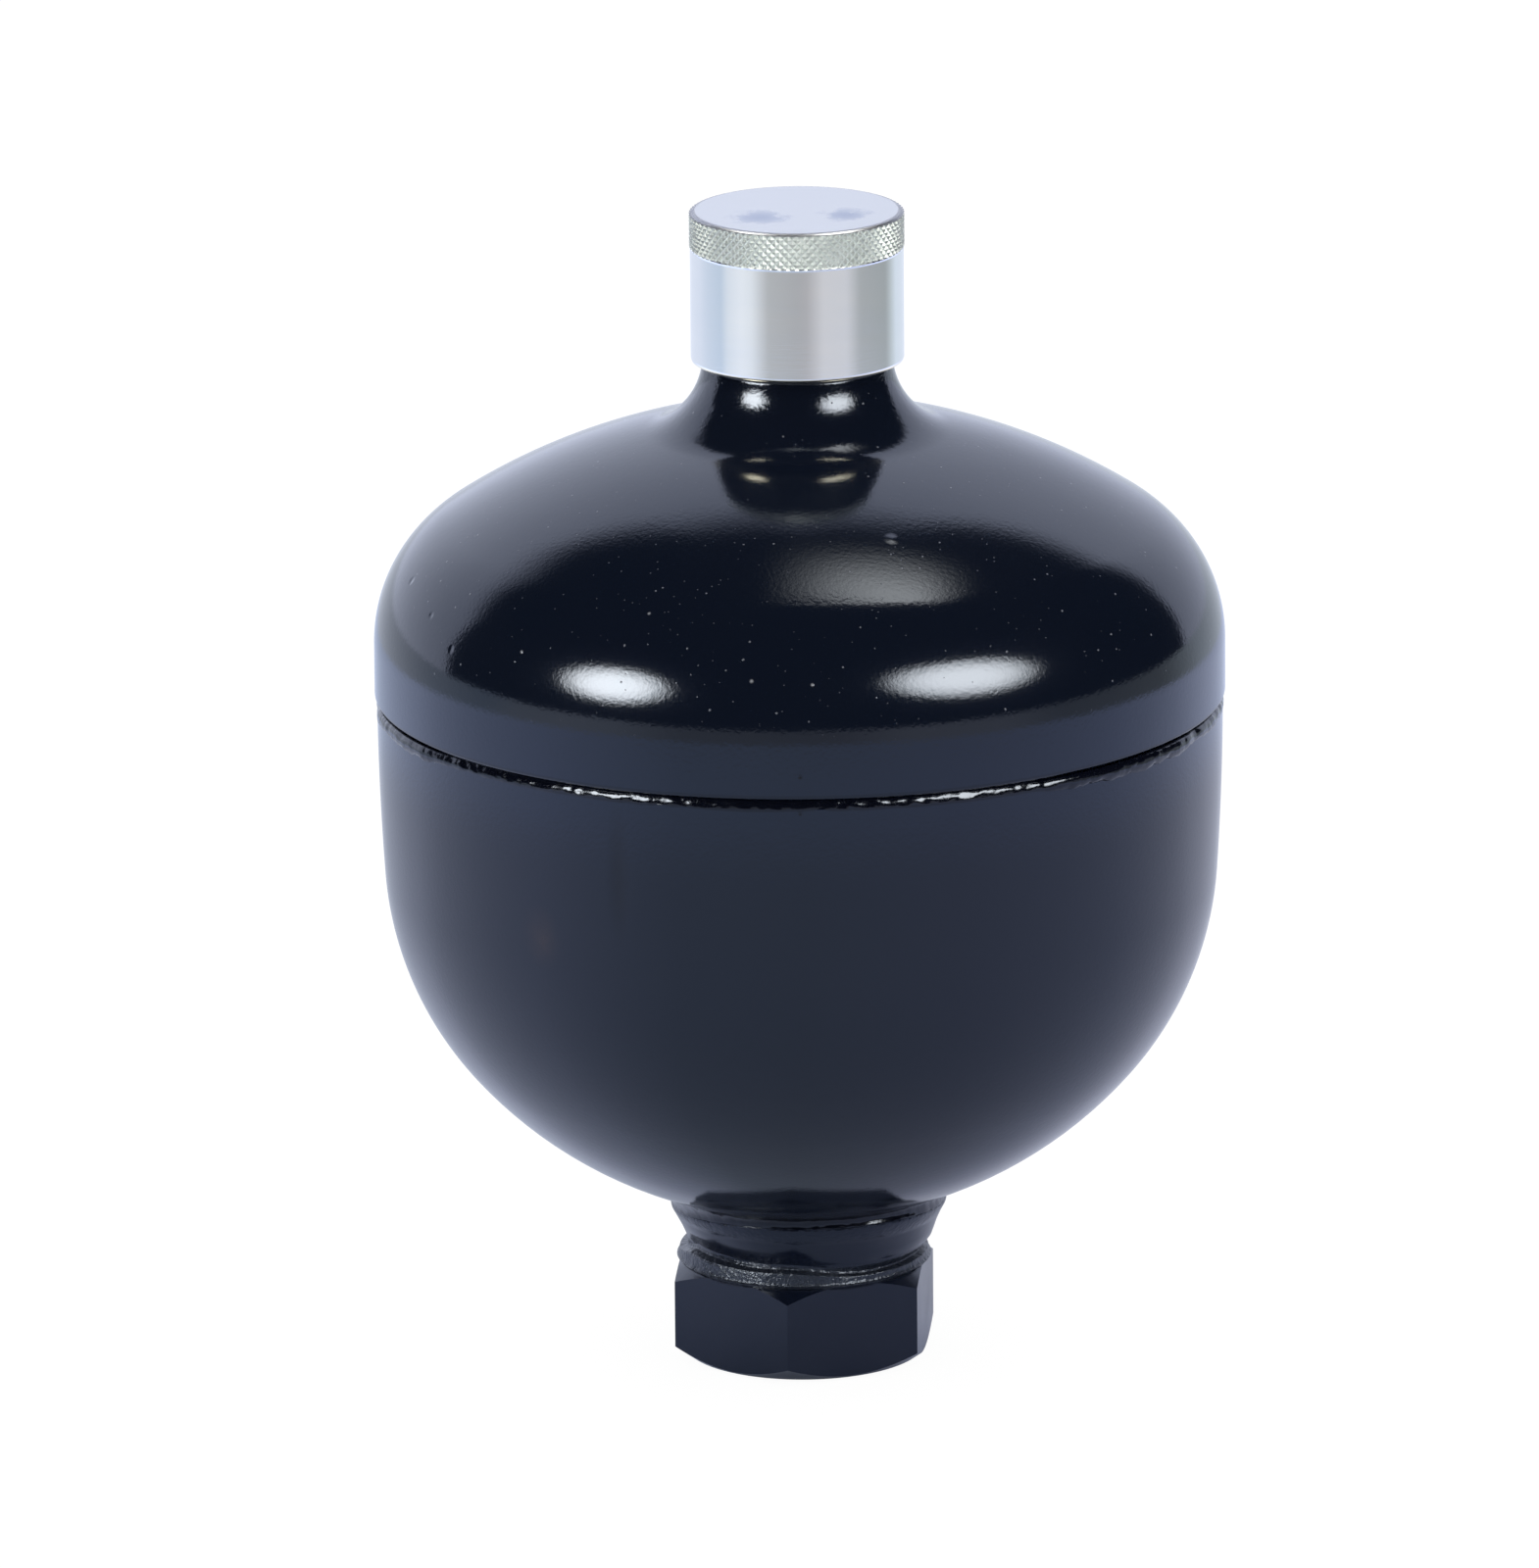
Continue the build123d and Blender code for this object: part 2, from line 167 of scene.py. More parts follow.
def swellSome(piece, name, strength, share, size=None, direction="NORMAL"):
    # pushes the points by strength in mm times their share, evenly or by clouds of a size in mm
    group = piece.vertex_groups.new(name=name)
    for vertex in piece.data.vertices:
        middle = vertex.co / mm
        weight = share(sqrt(middle.x ** 2 + middle.y ** 2), middle.z, roundFrom(middle))
        if weight > 0:
            group.add([vertex.index], min(weight, 1.0), "REPLACE")
    push = piece.modifiers.new(name, "DISPLACE")
    push.vertex_group = name
    push.direction = direction
    push.strength = strength * mm
    push.mid_level = 0.0
    if size is not None:
        clouds = bpy.data.textures.new(name, "CLOUDS")
        clouds.noise_scale = size * mm
        clouds.noise_depth = 2
        push.texture = clouds
        push.texture_coords = "LOCAL"
        push.mid_level = 0.5
    pick(piece)
    bpy.ops.object.modifier_apply(modifier=name)
    piece.vertex_groups.clear()
    return piece


def ramp(value, low, high):
    # 0 below low, 1 above high, smooth between them
    t = min(max((value - low) / (high - low), 0.0), 1.0)
    return t * t * (3 - 2 * t)


# materials: sums are written on wires, every other node comes from Wire.node

class Wire:
    # one output of a node in a material
    def __init__(self, tree, socket=None):
        self.tree = tree
        self.socket = socket

    def node(self, kind, settings=None, inputs=None, output=0):
        made = self.tree.nodes.new(kind)
        for name, value in (settings or {}).items():
            if name == "stops":
                ends = made.color_ramp
                while len(ends.elements) > 2:
                    ends.elements.remove(ends.elements[-1])
                for i, (place, colour) in enumerate(value):
                    stop = ends.elements[i] if i < 2 else ends.elements.new(place)
                    stop.position = place
                    stop.color = colour if isinstance(colour, tuple) else (colour,) * 3 + (1,)
            elif name == "spread":
                made.color_ramp.interpolation = value
            else:
                setattr(made, name, value)
        for name, value in (inputs or {}).items():
            socket = made.inputs[name]
            if isinstance(value, Wire):
                self.tree.links.new(value.socket, socket)
            else:
                socket.default_value = value
        return Wire(self.tree, made.outputs[output] if made.outputs else None)

    def other(self, output):
        # another output of the same node
        return Wire(self.tree, self.socket.node.outputs[output])

    def sum(self, operation, first, second=0.0, third=0.0):
        return self.node("ShaderNodeMath", {"operation": operation}, {0: first, 1: second, 2: third})

    def __add__(self, other):
        return self.sum("ADD", self, other)

    def __radd__(self, other):
        return self.sum("ADD", other, self)

    def __sub__(self, other):
        return self.sum("SUBTRACT", self, other)

    def __rsub__(self, other):
        return self.sum("SUBTRACT", other, self)

    def __mul__(self, other):
        return self.sum("MULTIPLY", self, other)

    def __rmul__(self, other):
        return self.sum("MULTIPLY", other, self)

    def __truediv__(self, other):
        return self.sum("DIVIDE", self, other)

    def __pow__(self, other):
        return self.sum("POWER", self, other)


def startMaterial(name):
    # the material, a wire in it and its object coordinates
    material = bpy.data.materials.new(name)
    material.use_nodes = True
    material.node_tree.nodes.clear()
    wire = Wire(material.node_tree)
    return material, wire, wire.node("ShaderNodeTexCoord", output=3)


def heightOf(wire, place):
    return wire.node("ShaderNodeSeparateXYZ", None, {0: place}, 2)


def lengthOf(wire, place):
    return wire.node("ShaderNodeVectorMath", {"operation": "LENGTH"}, {0: place}, 1)


def blendColours(wire, amount, low, high, way="MIX"):
    settings = {"data_type": "RGBA", "blend_type": way}
    return wire.node("ShaderNodeMix", settings, {0: amount, 6: low, 7: high}, 2)


def edgeBetween(wire, value, low, high):
    # 0 below low, 1 above high, smooth between them
    settings = {"interpolation_type": "SMOOTHSTEP"}
    return wire.node("ShaderNodeMapRange", settings, {0: value, 1: low, 2: high, 3: 0.0, 4: 1.0})


def grain(wire, place, scale, detail=2.0, rough=0.5, stretch=None):
    if stretch is not None:
        place = wire.node("ShaderNodeMapping", None, {"Vector": place, "Scale": stretch})
    inputs = {"Vector": place, "Scale": scale, "Detail": detail, "Roughness": rough}
    return wire.node("ShaderNodeTexNoise", None, inputs)


def specksOf(wire, place, spacing, size, share):
    # round specks on some of the cells of a scatter, spacing and size in mm
    cells = {"Vector": place, "Scale": 1 / (spacing * mm), "Randomness": 1.0}
    near = wire.node("ShaderNodeTexVoronoi", None, cells, 0)
    kept = wire.node("ShaderNodeSeparateColor", None, {0: near.other(1)}, 0)
    return (1 - edgeBetween(wire, near, size / spacing * 0.5, size / spacing)) * edgeBetween(
        wire, kept, 1 - share, 1 - share + 0.02)


def spotAt(wire, place, centre, size, stretch=(1, 1, 1)):
    # 1 in the middle of one mark, 0 outside it; centre and size in mm
    moved = wire.node("ShaderNodeVectorMath", {"operation": "SUBTRACT"},
                      {0: place, 1: tuple(c * mm for c in centre)})
    moved = wire.node("ShaderNodeVectorMath", {"operation": "MULTIPLY"}, {0: moved, 1: stretch})
    return 1 - edgeBetween(wire, lengthOf(wire, moved), 0.0, size * mm)


def spotsAt(wire, place, spots):
    # the strongest of several marks, each a centre and a size
    first, *others = (spotAt(wire, place, centre, size) for centre, size in spots)
    for other in others:
        first = wire.sum("MAXIMUM", first, other)
    return first


def bumpFrom(wire, height, distance, strength=1.0):
    settings = {"Strength": strength, "Distance": distance * mm, "Height": height}
    return wire.node("ShaderNodeBump", None, settings)


def paintOf(wire, paint, colour, roughness, height):
    # a gloss paint, its surface raised by a height in mm
    return wire.node("ShaderNodeBsdfPrincipled", None, {
        "Base Color": colour,
        "Roughness": roughness,
        "Specular Tint": paint["tint"],
        "IOR": 1.5,
        "Normal": bumpFrom(wire, height, 1.0),
    })


def finishMaterial(wire, shader):
    wire.node("ShaderNodeOutputMaterial", None, {"Surface": shader})


glossPaint = {
    "colour": (0.0030, 0.0054, 0.0125, 1),
    "dusty": (0.0048, 0.0070, 0.0140, 1),
    "speck": (0.24, 0.25, 0.28, 1),
    "dot": (0.30, 0.31, 0.33, 1),
    "stain": (0.030, 0.020, 0.018, 1),
    "shade": (0.0008, 0.0010, 0.0020, 1),
    "tint": (0.79, 0.85, 1.0, 1),
    "roughness": 0.10,
    "specks": (2.6, 0.22, 0.50),       # spacing and size in mm, and share
    "dust": (1.2, 0.14, 0.40),
    # heights of what stands on the film or is sunk in it, mm
    "peel": 0.018,
    "waves": 0.035,
    "neckGrain": 0.11,
    "speckHigh": 0.03,
    "dustHigh": -0.012,
    "pitHigh": -0.10,
    "dotHigh": 0.06,
    "streakHigh": -0.06,
    "bumpHigh": 0.09,
    "markHigh": -0.03,
    # single marks of the photograph: a centre and a size, mm
    "pits": [((-61.7, -24.4, 138.0), 1.1), ((-56.6, -37.4, 135.6), 0.9), ((-52.1, -45.8, 132.1), 0.9)],
    "dots": [((0.5, -68.6, 134.0), 0.45), ((10.4, -68.1, 133.5), 0.40), ((-17.4, -59.6, 142.6), 0.40),
             ((-39.0, -56.1, 134.7), 0.40)],
    "marks": [((8.6, -70.5, 118.6), 0.5), ((8.5, -70.1, 112.3), 0.5)],
    "bump": ((20.5, -42.3, 151.7), 1.6),
    "streak": ((-21.8, -66.8, 99.6), 2.6, (1, 1, 0.18)),
    "blotch": ((-35.7, -60.0, 87.2), 4.5, (1, 1, 0.7)),
    "domeFrom": (8, 16),               # above the seam, where the specks start
    "neck": (16, 34),                  # middle below the stub's top, and reach, of the neck's grain
}


def makeGlossPaint():
    g = glossPaint
    material, wire, place = startMaterial("blackPaint")
    cloud = grain(wire, place, 28, 3)
    peel = grain(wire, place, 1400, 2, 0.6)
    dome = edgeBetween(wire, heightOf(wire, place), *((seam + h) * mm for h in g["domeFrom"]))
    waves = grain(wire, place, 70, 1)
    specks = specksOf(wire, place, *g["specks"]) * dome
    dust = specksOf(wire, place, *g["dust"]) * dome
    dots, pits, marks = (spotsAt(wire, place, g[kind]) for kind in ("dots", "pits", "marks"))
    streak = spotAt(wire, place, *g["streak"])
    blotch = spotAt(wire, place, *g["blotch"]) * grain(wire, place, 420, 3)
    near = spotAt(wire, place, (0, 0, topOf("upper_shell") - g["neck"][0]), g["neck"][1])
    colour = blendColours(wire, cloud, g["colour"], g["dusty"])
    colour = blendColours(wire, wire.sum("MAXIMUM", specks, dust * 0.5) * 0.6, colour, g["speck"])
    colour = blendColours(wire, dots * 0.9, colour, g["dot"])
    colour = blendColours(wire, blotch * 0.9, colour, g["stain"])
    colour = blendColours(wire, wire.sum("MAXIMUM", streak * 0.8, marks), colour, g["shade"])
    height = peel * g["peel"] + waves * g["waves"] + specks * g["speckHigh"] + dust * g["dustHigh"]
    height = height + pits * g["pitHigh"] + dots * g["dotHigh"] + streak * g["streakHigh"]
    height = height + spotAt(wire, place, *g["bump"]) * g["bumpHigh"] + marks * g["markHigh"]
    height = height + near * grain(wire, place, 600, 3, 0.7) * g["neckGrain"]
    roughness = g["roughness"] + (cloud - 0.5) * 0.04 + streak * 0.10 + blotch * 0.08
    finishMaterial(wire, paintOf(wire, g, colour, roughness, height))
    return material


weldPaint = {
    "colour": (0.0016, 0.0022, 0.0060, 1),
    "tint": (0.79, 0.85, 1.0, 1),
    "roughness": 0.14,
    "lumps": 0.05,           # mm
    "ripples": 0.10,
}


def makeWeldPaint():
    material, wire, place = startMaterial("weldPaint")
    lumps = grain(wire, place, 900, 2, 0.6)
    ripples = grain(wire, place, 260, 1)
    roughness = weldPaint["roughness"] + (ripples - 0.5) * 0.08
    height = lumps * weldPaint["lumps"] + ripples * weldPaint["ripples"]
    finishMaterial(wire, paintOf(wire, weldPaint, weldPaint["colour"], roughness, height))
    return material


portPaint = {
    "colour": (0.0030, 0.0055, 0.0150, 1),
    "worn": (0.0060, 0.0085, 0.0180, 1),
    "tint": (0.76, 0.83, 1.0, 1),
    # lighter blue-grey for the collar band: a painted reflection on the black paint
    "roughBandAndSheen": (0.020, 0.025, 0.036, 1),
    "roughness": 0.19,
    "bandAt": (-0.8, -0.1, 2.6, 3.6),  # rough band round the collar, above the hexagon
    "rimAt": (7.6, 8.8),
    # heights, mm
    "peel": 0.008,
    "waves": 0.06,
    "bandGrain": 0.40,
}


def makePortPaint():
    p = portPaint
    material, wire, place = startMaterial("portPaint")
    cloud = grain(wire, place, 90, 3)
    peel = grain(wire, place, 1100, 2, 0.6)
    waves = grain(wire, place, 160, 2)
    z = heightOf(wire, place) / mm - fluidPort["hexHeight"]
    foot, low, high, top = p["bandAt"]
    roughBandAndSheen = edgeBetween(wire, z, foot, low) * (1 - edgeBetween(wire, z, high, top))
    rim = edgeBetween(wire, z, *p["rimAt"])
    lumps = grain(wire, place, 620, 3, 0.7) * (roughBandAndSheen + rim * 0.5)
    colour = blendColours(wire, cloud, p["colour"], p["worn"])
    # the collar band painted lighter: a painted reflection; its roughness and lumps are real
    colour = blendColours(wire, roughBandAndSheen * cloud, colour, p["roughBandAndSheen"])
    roughness = p["roughness"] + (cloud - 0.5) * 0.12 + roughBandAndSheen * 0.10
    height = peel * p["peel"] + waves * p["waves"] + lumps * p["bandGrain"]
    finishMaterial(wire, paintOf(wire, p, colour, roughness, height))
    return material


zincPlate = {
    "bright": (0.84, 0.83, 0.82, 1),
    "cloudy": (0.76, 0.77, 0.78, 1),
    # darker top face: painted shade on the cap's roof
    "roof": (0.55, 0.545, 0.525, 1),
    "patch": (0.35, 0.38, 0.45, 1),
    # darker rim round the top: painted shade that dims its reflections
    "edge": (0.40, 0.40, 0.42, 1),
    # bright yellowish band at the cap's foot: a painted highlight
    "footHighlight": (0.98, 0.90, 0.70, 1),
    "roughness": 0.12,
    # mm
    "roofPatches": [(-5.4, -6.0, 8.5), (8.6, -3.0, 7.5)],      # x, y and size
    "roofFrom": (-0.3, -0.1),          # all three from the top or the foot
    "rimFrom": (-0.5, -0.36),
    "heelTo": (0.45, 0.75),
    "rimIn": (-0.75, -0.45),           # from the knurl's root
}


def makeZincPlate():
    z = zincPlate
    material, wire, place = startMaterial("zincPlate")
    cloud = grain(wire, place, 60, 4, 0.6, (1, 1, 5))
    marks = grain(wire, place, 90, 3, 0.6, (1, 1, 60))
    top = topOf("protective_cap")
    foot = footOf("protective_cap")
    height = heightOf(wire, place)

    def risesFrom(value, start, ends):
        return edgeBetween(wire, value, *((start + end) * mm for end in ends))

    roof = risesFrom(height, top, z["roofFrom"])
    patches = spotsAt(wire, place, [((x, y, top), size) for x, y, size in z["roofPatches"]])
    ragged = edgeBetween(wire, grain(wire, place, 300, 4, 0.7) + patches * 0.40, 0.60, 0.78) * patches
    colour = blendColours(wire, cloud, z["bright"], z["cloudy"])
    # the roof painted darker: painted shade; its extra roughness is real
    colour = blendColours(wire, roof, colour, z["roof"])
    colour = blendColours(wire, ragged, colour, z["patch"])
    flat = wire.node("ShaderNodeVectorMath", {"operation": "MULTIPLY"}, {0: place, 1: (1, 1, 0)})
    rim = risesFrom(lengthOf(wire, flat), zincCap["knurlRoot"], z["rimIn"])
    rim = rim * risesFrom(height, top, z["rimFrom"])
    footHighlight = 1 - risesFrom(height, foot, z["heelTo"])
    # the top's rim painted darker: painted shade; its extra roughness is real
    colour = blendColours(wire, rim, colour, z["edge"])
    # the cap's foot painted brighter: a painted highlight
    colour = blendColours(wire, footHighlight, colour, z["footHighlight"])
    shader = wire.node("ShaderNodeBsdfPrincipled", None, {
        "Base Color": colour,
        "Metallic": 1.0,
        "Roughness": z["roughness"] + (cloud - 0.5) * 0.05 + ragged * 0.12 + roof * 0.12 + rim * 0.25,
        "Normal": bumpFrom(wire, marks, 0.005),
    })
    finishMaterial(wire, shader)
    return material


knurlPlate = {
    "bright": (0.84, 0.88, 0.86, 1),
    "dull": (0.52, 0.56, 0.54, 1),
    # darker upper end of the knurl: painted shade under the cap's top edge
    "end": (0.30, 0.30, 0.32, 1),
    "metal": 0.6,
    "roughness": 0.34,
}


def makeKnurlPlate():
    material, wire, place = startMaterial("knurlPlate")
    cloud = grain(wire, place, 260, 3, 0.6)
    end = topOf("protective_cap") - zincCap["knurlDrop"]
    upper = edgeBetween(wire, heightOf(wire, place), (end - 0.2) * mm, (end - 0.05) * mm)
    colour = blendColours(wire, cloud, knurlPlate["bright"], knurlPlate["dull"])
    # the knurl's upper end painted darker: painted shade
    colour = blendColours(wire, upper, colour, knurlPlate["end"])
    shader = wire.node("ShaderNodeBsdfPrincipled", None, {
        "Base Color": colour,
        "Metallic": knurlPlate["metal"],
        "Roughness": knurlPlate["roughness"] + (cloud - 0.5) * 0.2,
        "Normal": bumpFrom(wire, cloud, 0.03),
    })
    finishMaterial(wire, shader)
    return material


oiledSteel = {"light": (0.40, 0.40, 0.41, 1), "dark": (0.20, 0.20, 0.21, 1), "roughness": 0.38}


def makeOiledSteel():
    material, wire, place = startMaterial("oiledSteel")
    cloud = grain(wire, place, 120, 4, 0.6)
    marks = grain(wire, place, 200, 3, 0.6, (1, 1, 30))
    shader = wire.node("ShaderNodeBsdfPrincipled", None, {
        "Base Color": blendColours(wire, cloud, oiledSteel["light"], oiledSteel["dark"]),
        "Metallic": 1.0,
        "Roughness": oiledSteel["roughness"] + (cloud - 0.5) * 0.25,
        "Normal": bumpFrom(wire, marks, 0.008),
    })
    finishMaterial(wire, shader)
    return material


nitrileRubber = {"colour": (0.018, 0.018, 0.019, 1), "bloom": (0.040, 0.040, 0.041, 1), "roughness": 0.55}


def makeRubber():
    material, wire, place = startMaterial("nitrileRubber")
    bloom = grain(wire, place, 60, 4, 0.6)
    skin = grain(wire, place, 2600, 2)
    shader = wire.node("ShaderNodeBsdfPrincipled", None, {
        "Base Color": blendColours(wire, bloom, nitrileRubber["colour"], nitrileRubber["bloom"]),
        "Roughness": nitrileRubber["roughness"] + (bloom - 0.5) * 0.2,
        "Normal": bumpFrom(wire, skin, 0.012),
    })
    finishMaterial(wire, shader)
    return material


blackPaint = makeGlossPaint()
beadPaint = makeWeldPaint()
steel = makeOiledSteel()
rubber = makeRubber()


def dress(piece, *materials):
    piece.data.materials.clear()
    for material in materials:
        piece.data.materials.append(material)
    return piece


def dressFaces(piece, index, test):
    # another material on the faces whose middle passes the test, radius and height in mm
    for face in piece.data.polygons:
        middle = face.center / mm
        if test(sqrt(middle.x ** 2 + middle.y ** 2), middle.z):
            face.material_index = index
    return piece


# camera at the photograph's angle, 1570 by 1600

photoCamera = {
    "azimuth": 7.0,
    "elevation": 14.9,
    "distance": 2.840,
    "seamRight": 31.8,       # the seam's middle, in pixels right of and above the frame's middle
    "seamUp": 97.0,
    "focalPixels": 17350.0,
    "longSide": 1600.0,
    "lean": 0.45,
}


def placeCamera():
    c = photoCamera
    a, e = radians(c["azimuth"]), radians(c["elevation"])
    back = Vector((sin(a) * cos(e), -cos(a) * cos(e), sin(e)))
    right = Vector((cos(a), sin(a), 0))
    up = back.cross(right)
    middle = Vector((0, 0, seam * mm))
    perPixel = c["distance"] / c["focalPixels"]
    target = middle - right * c["seamRight"] * perPixel - up * c["seamUp"] * perPixel
    place = middle + back * c["distance"]
    lensData = bpy.data.cameras.new("photoCamera")
    lensData.sensor_width = 36
    lensData.lens = c["focalPixels"] / c["longSide"] * 36
    lensData.clip_start = 0.1
    lensData.clip_end = 50
    camera = bpy.data.objects.new("photoCamera", lensData)
    bpy.context.scene.collection.objects.link(camera)
    camera.rotation_mode = "XYZ"
    facing = (target - place).to_track_quat("-Z", "Y").to_matrix().to_4x4()
    facing.translation = place
    camera.matrix_world = facing
    camera.rotation_euler.rotate_axis("Z", radians(-c["lean"]))
    bpy.context.scene.camera = camera


placeCamera()
print("camera placed")


# the vessel's upper shell, with its neck and threaded stub

upperShell = {
    "radius": 71.0,
    "bore": 64.1,
    "straight": 8.8,
    "knuckle": 25.4,
    "crown": 108.3,
    "neck": 15.8,
    "fillet": 13.5,
    "neckCut": 1.32,
    "lipRound": 0.6,
    "stubRoot": 13.08,
    "screwBore": 8.0,
    "gasPassage": 3.5,
    "pitch": 1.5,
}


def makeUpperShell():
    s = upperShell
    radius, bore, neck = s["radius"], s["bore"], s["neck"]
    inset = radius - bore
    knuckleAt = (radius - s["knuckle"], seam + s["straight"])
    centre = knuckleAt[1] - sqrt((s["crown"] - s["knuckle"]) ** 2 - knuckleAt[0] ** 2)
    turnOver = degrees(atan2(knuckleAt[1] - centre, knuckleAt[0]))
    filletR = neck + s["fillet"]
    filletZ = centre + sqrt((s["crown"] + s["fillet"]) ** 2 - filletR ** 2)
    filletTurn = degrees(atan2(filletZ - centre, filletR))
    filletStart = degrees(asin(s["neckCut"] / s["fillet"]))
    neckTop = filletZ - s["neckCut"]
    rounding = s["lipRound"]
    passageAngle = degrees(acos(s["gasPassage"] / (s["crown"] - inset)))
    stub, top, sealFoot = s["stubRoot"], topOf("upper_shell"), footOf("screw_seal")
    outline = [(bore, seam)]
    outline += arc((radius - rounding, seam + rounding), rounding, -90, 90, 6)
    outline += [(radius, seam + rounding + 0.3)]      # keeps the straight side's shading true
    outline += arc(knuckleAt, s["knuckle"], 0, turnOver, 30)
    outline += arc((0, centre), s["crown"], turnOver, filletTurn - turnOver, 14)
    outline += arc((filletR, filletZ), s["fillet"], 180 + filletTurn, filletStart - filletTurn, 24)[:-1]
    edge = filletR - s["fillet"] * cos(radians(filletStart))
    outline += [(edge + 0.02, neckTop - 0.35), (edge - 0.10, neckTop - 0.10), (edge - 0.35, neckTop)]
    outline += [
        (stub - 0.5, neckTop),
        (stub - 0.5, neckTop + 1.5),
        (stub, neckTop + 2.0),
        (stub, top - 0.8),
        (stub - 0.8, top),
        (s["screwBore"] + 0.8, top),
        (s["screwBore"], top - 0.8),
        (s["screwBore"], sealFoot),
        (s["gasPassage"], sealFoot),
    ]
    outline += arc((0, centre), s["crown"] - inset, passageAngle, turnOver - passageAngle, 14)
    outline += arc(knuckleAt, s["knuckle"] - inset, turnOver, -turnOver, 14)
    outline += [(bore, seam)]
    piece = dress(turnPiece("upperShellBody", outline, 360), blackPaint, steel)
    dressFaces(piece, 1, lambda r, z: z > neckTop - 0.05 and r < neck - 0.5)
    dressFaces(piece, 1, lambda r, z: r < 9 and z < neckTop)
    start = neckTop + 2.0
    ridge = [(stub - 0.1, start), (stub + 0.87, start + 0.52), (stub + 0.87, start + 0.72),
             (stub - 0.1, start + 1.24)]
    thread = dress(threadRidge("stubThread", ridge, s["pitch"], 8), blackPaint, steel)
    dressFaces(thread, 1, lambda r, z: True)
    joinUp(piece, thread)
    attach(piece, "vessel")
    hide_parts("upper_shell")
    return piece


# the deep bowl below it

lowerShell = {
    "radius": 70.6,
    "wall": 6.5,
    "side": 480.0,
    "sideHeight": 30.6,
    "knuckle": 56.1,
    "crown": 74.0,
    "hole": 12.05,
    "weldRoot": 66.6,
    "weldHeight": 1.4,
    "grooveWall": 66.1,
    "grooveFoot": 13.0,      # both below the seam
    "grooveTop": 7.0,
}


def bowlPlaces():
    # middles of the bowl's three arcs, and the angles at which they meet
    b = lowerShell
    sideTurn = degrees(asin(b["sideHeight"] / b["side"]))
    sideAt = (b["radius"] - b["side"], seam)
    away = b["side"] - b["knuckle"]
    knuckleAt = (sideAt[0] + away * cos(radians(sideTurn)), seam - away * sin(radians(sideTurn)))
    crownZ = knuckleAt[1] + sqrt((b["crown"] - b["knuckle"]) ** 2 - knuckleAt[0] ** 2)
    return sideAt, knuckleAt, crownZ, sideTurn, degrees(atan2(knuckleAt[1] - crownZ, knuckleAt[0]))


def bowlCurve(inset, drop, endRadius, counts):
    # the bowl's section set inwards, from a drop below the seam to a radius near the pole
    b = lowerShell
    sideAt, knuckleAt, crownZ, sideTurn, crownStart = bowlPlaces()
    start = -degrees(asin(drop / (b["side"] - inset)))
    end = -degrees(acos(endRadius / (b["crown"] - inset)))
    curve = arc(sideAt, b["side"] - inset, start, -sideTurn - start, counts[0])
    curve += arc(knuckleAt, b["knuckle"] - inset, -sideTurn, crownStart + sideTurn, counts[1])
    return curve + arc((0, crownZ), b["crown"] - inset, crownStart, end - crownStart, counts[2])


def makeLowerShell():
    b = lowerShell
    weldFoot = seam - b["weldHeight"]
    outline = [(b["weldRoot"], seam), (b["weldRoot"], weldFoot)]
    outline += arc((b["radius"] - 0.31, weldFoot - 0.3), 0.3, 90, -90, 4)
    outline += bowlCurve(0, b["weldHeight"] + 0.3, b["hole"], (12, 28, 20))
    outline += bowlCurve(b["wall"], b["grooveFoot"], b["hole"], (6, 16, 12))[::-1]
    inner = b["radius"] - b["wall"] - 0.02
    outline += [
        (b["grooveWall"], seam - b["grooveFoot"]),
        (b["grooveWall"], seam - b["grooveTop"]),
        (inner - 0.03, seam - b["grooveTop"]),
        (inner, seam),
        (b["weldRoot"], seam),
    ]
    piece = dress(turnPiece("lowerShellBody", outline, 360), blackPaint, steel)
    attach(piece, "vessel")
    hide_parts("lower_shell")
    return piece


# weld bead in the seam: it looks up and out, uneven, and rolls over the bowl's edge in places

girthBead = {
    "root": 66.6,
    "height": 1.4,
    "face": 2.23,            # radius of the bead's face
    "faceMiddle": (68.41, -1.73),
    "rolls": [(-180, -100, 0.5), (-84, -58, 0.9), (36, 66, 1.0), (66, 84, 0.5), (110, 150, 0.8)],
    # depths, mm
    "waves": 0.36,
    "dents": 0.34,
    "rollOver": 0.75,
    "ragged": 1.3,
}


def beadRoll(angle):
    return max(amount * ramp(angle, a - 4, a + 4) * (1 - ramp(angle, b - 4, b + 4))
               for a, b, amount in girthBead["rolls"])


def makeGirthBead():
    g = girthBead
    foot = seam - g["height"]
    middle = (g["faceMiddle"][0], seam + g["faceMiddle"][1])
    outline = [(g["root"], foot), (g["root"], seam - 0.02)] + arc(middle, g["face"], 50, -45, 10)
    last = outline[-1]
    outline += [(last[0] + 0.02, last[1] - 0.25), (last[0] - 0.05, last[1] - 0.45)]
    outline += [(last[0] - 0.6, last[1] - 0.5), (g["root"], foot)]
    piece = dress(turnPiece("girthBead", outline, 1200, 60), beadPaint)
    face = lambda r: ramp(r, 69.0, 69.7)
    swellSome(piece, "waves", g["waves"], lambda r, z, a: face(r), 9.0)
    swellSome(piece, "dents", g["dents"], lambda r, z, a: face(r) * ramp(z, foot - 1.0, foot + 0.4), 1.9)
    roll = lambda r, z, a, low, high: face(r) * beadRoll(a) * (1 - ramp(z, low, high))
    swellSome(piece, "rolls", g["rollOver"], lambda r, z, a: roll(r, z, a, foot + 0.5, seam))
    swellSome(piece, "ragged", g["ragged"], lambda r, z, a: roll(r, z, a, foot - 0.4, foot + 0.3), 2.2, "Z")
    settle(piece, 60)
    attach(piece, "vessel")
    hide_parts("girth_weld")
    return piece


makeUpperShell()
makeLowerShell()
makeGirthBead()
print("shells turned")


# fluid port

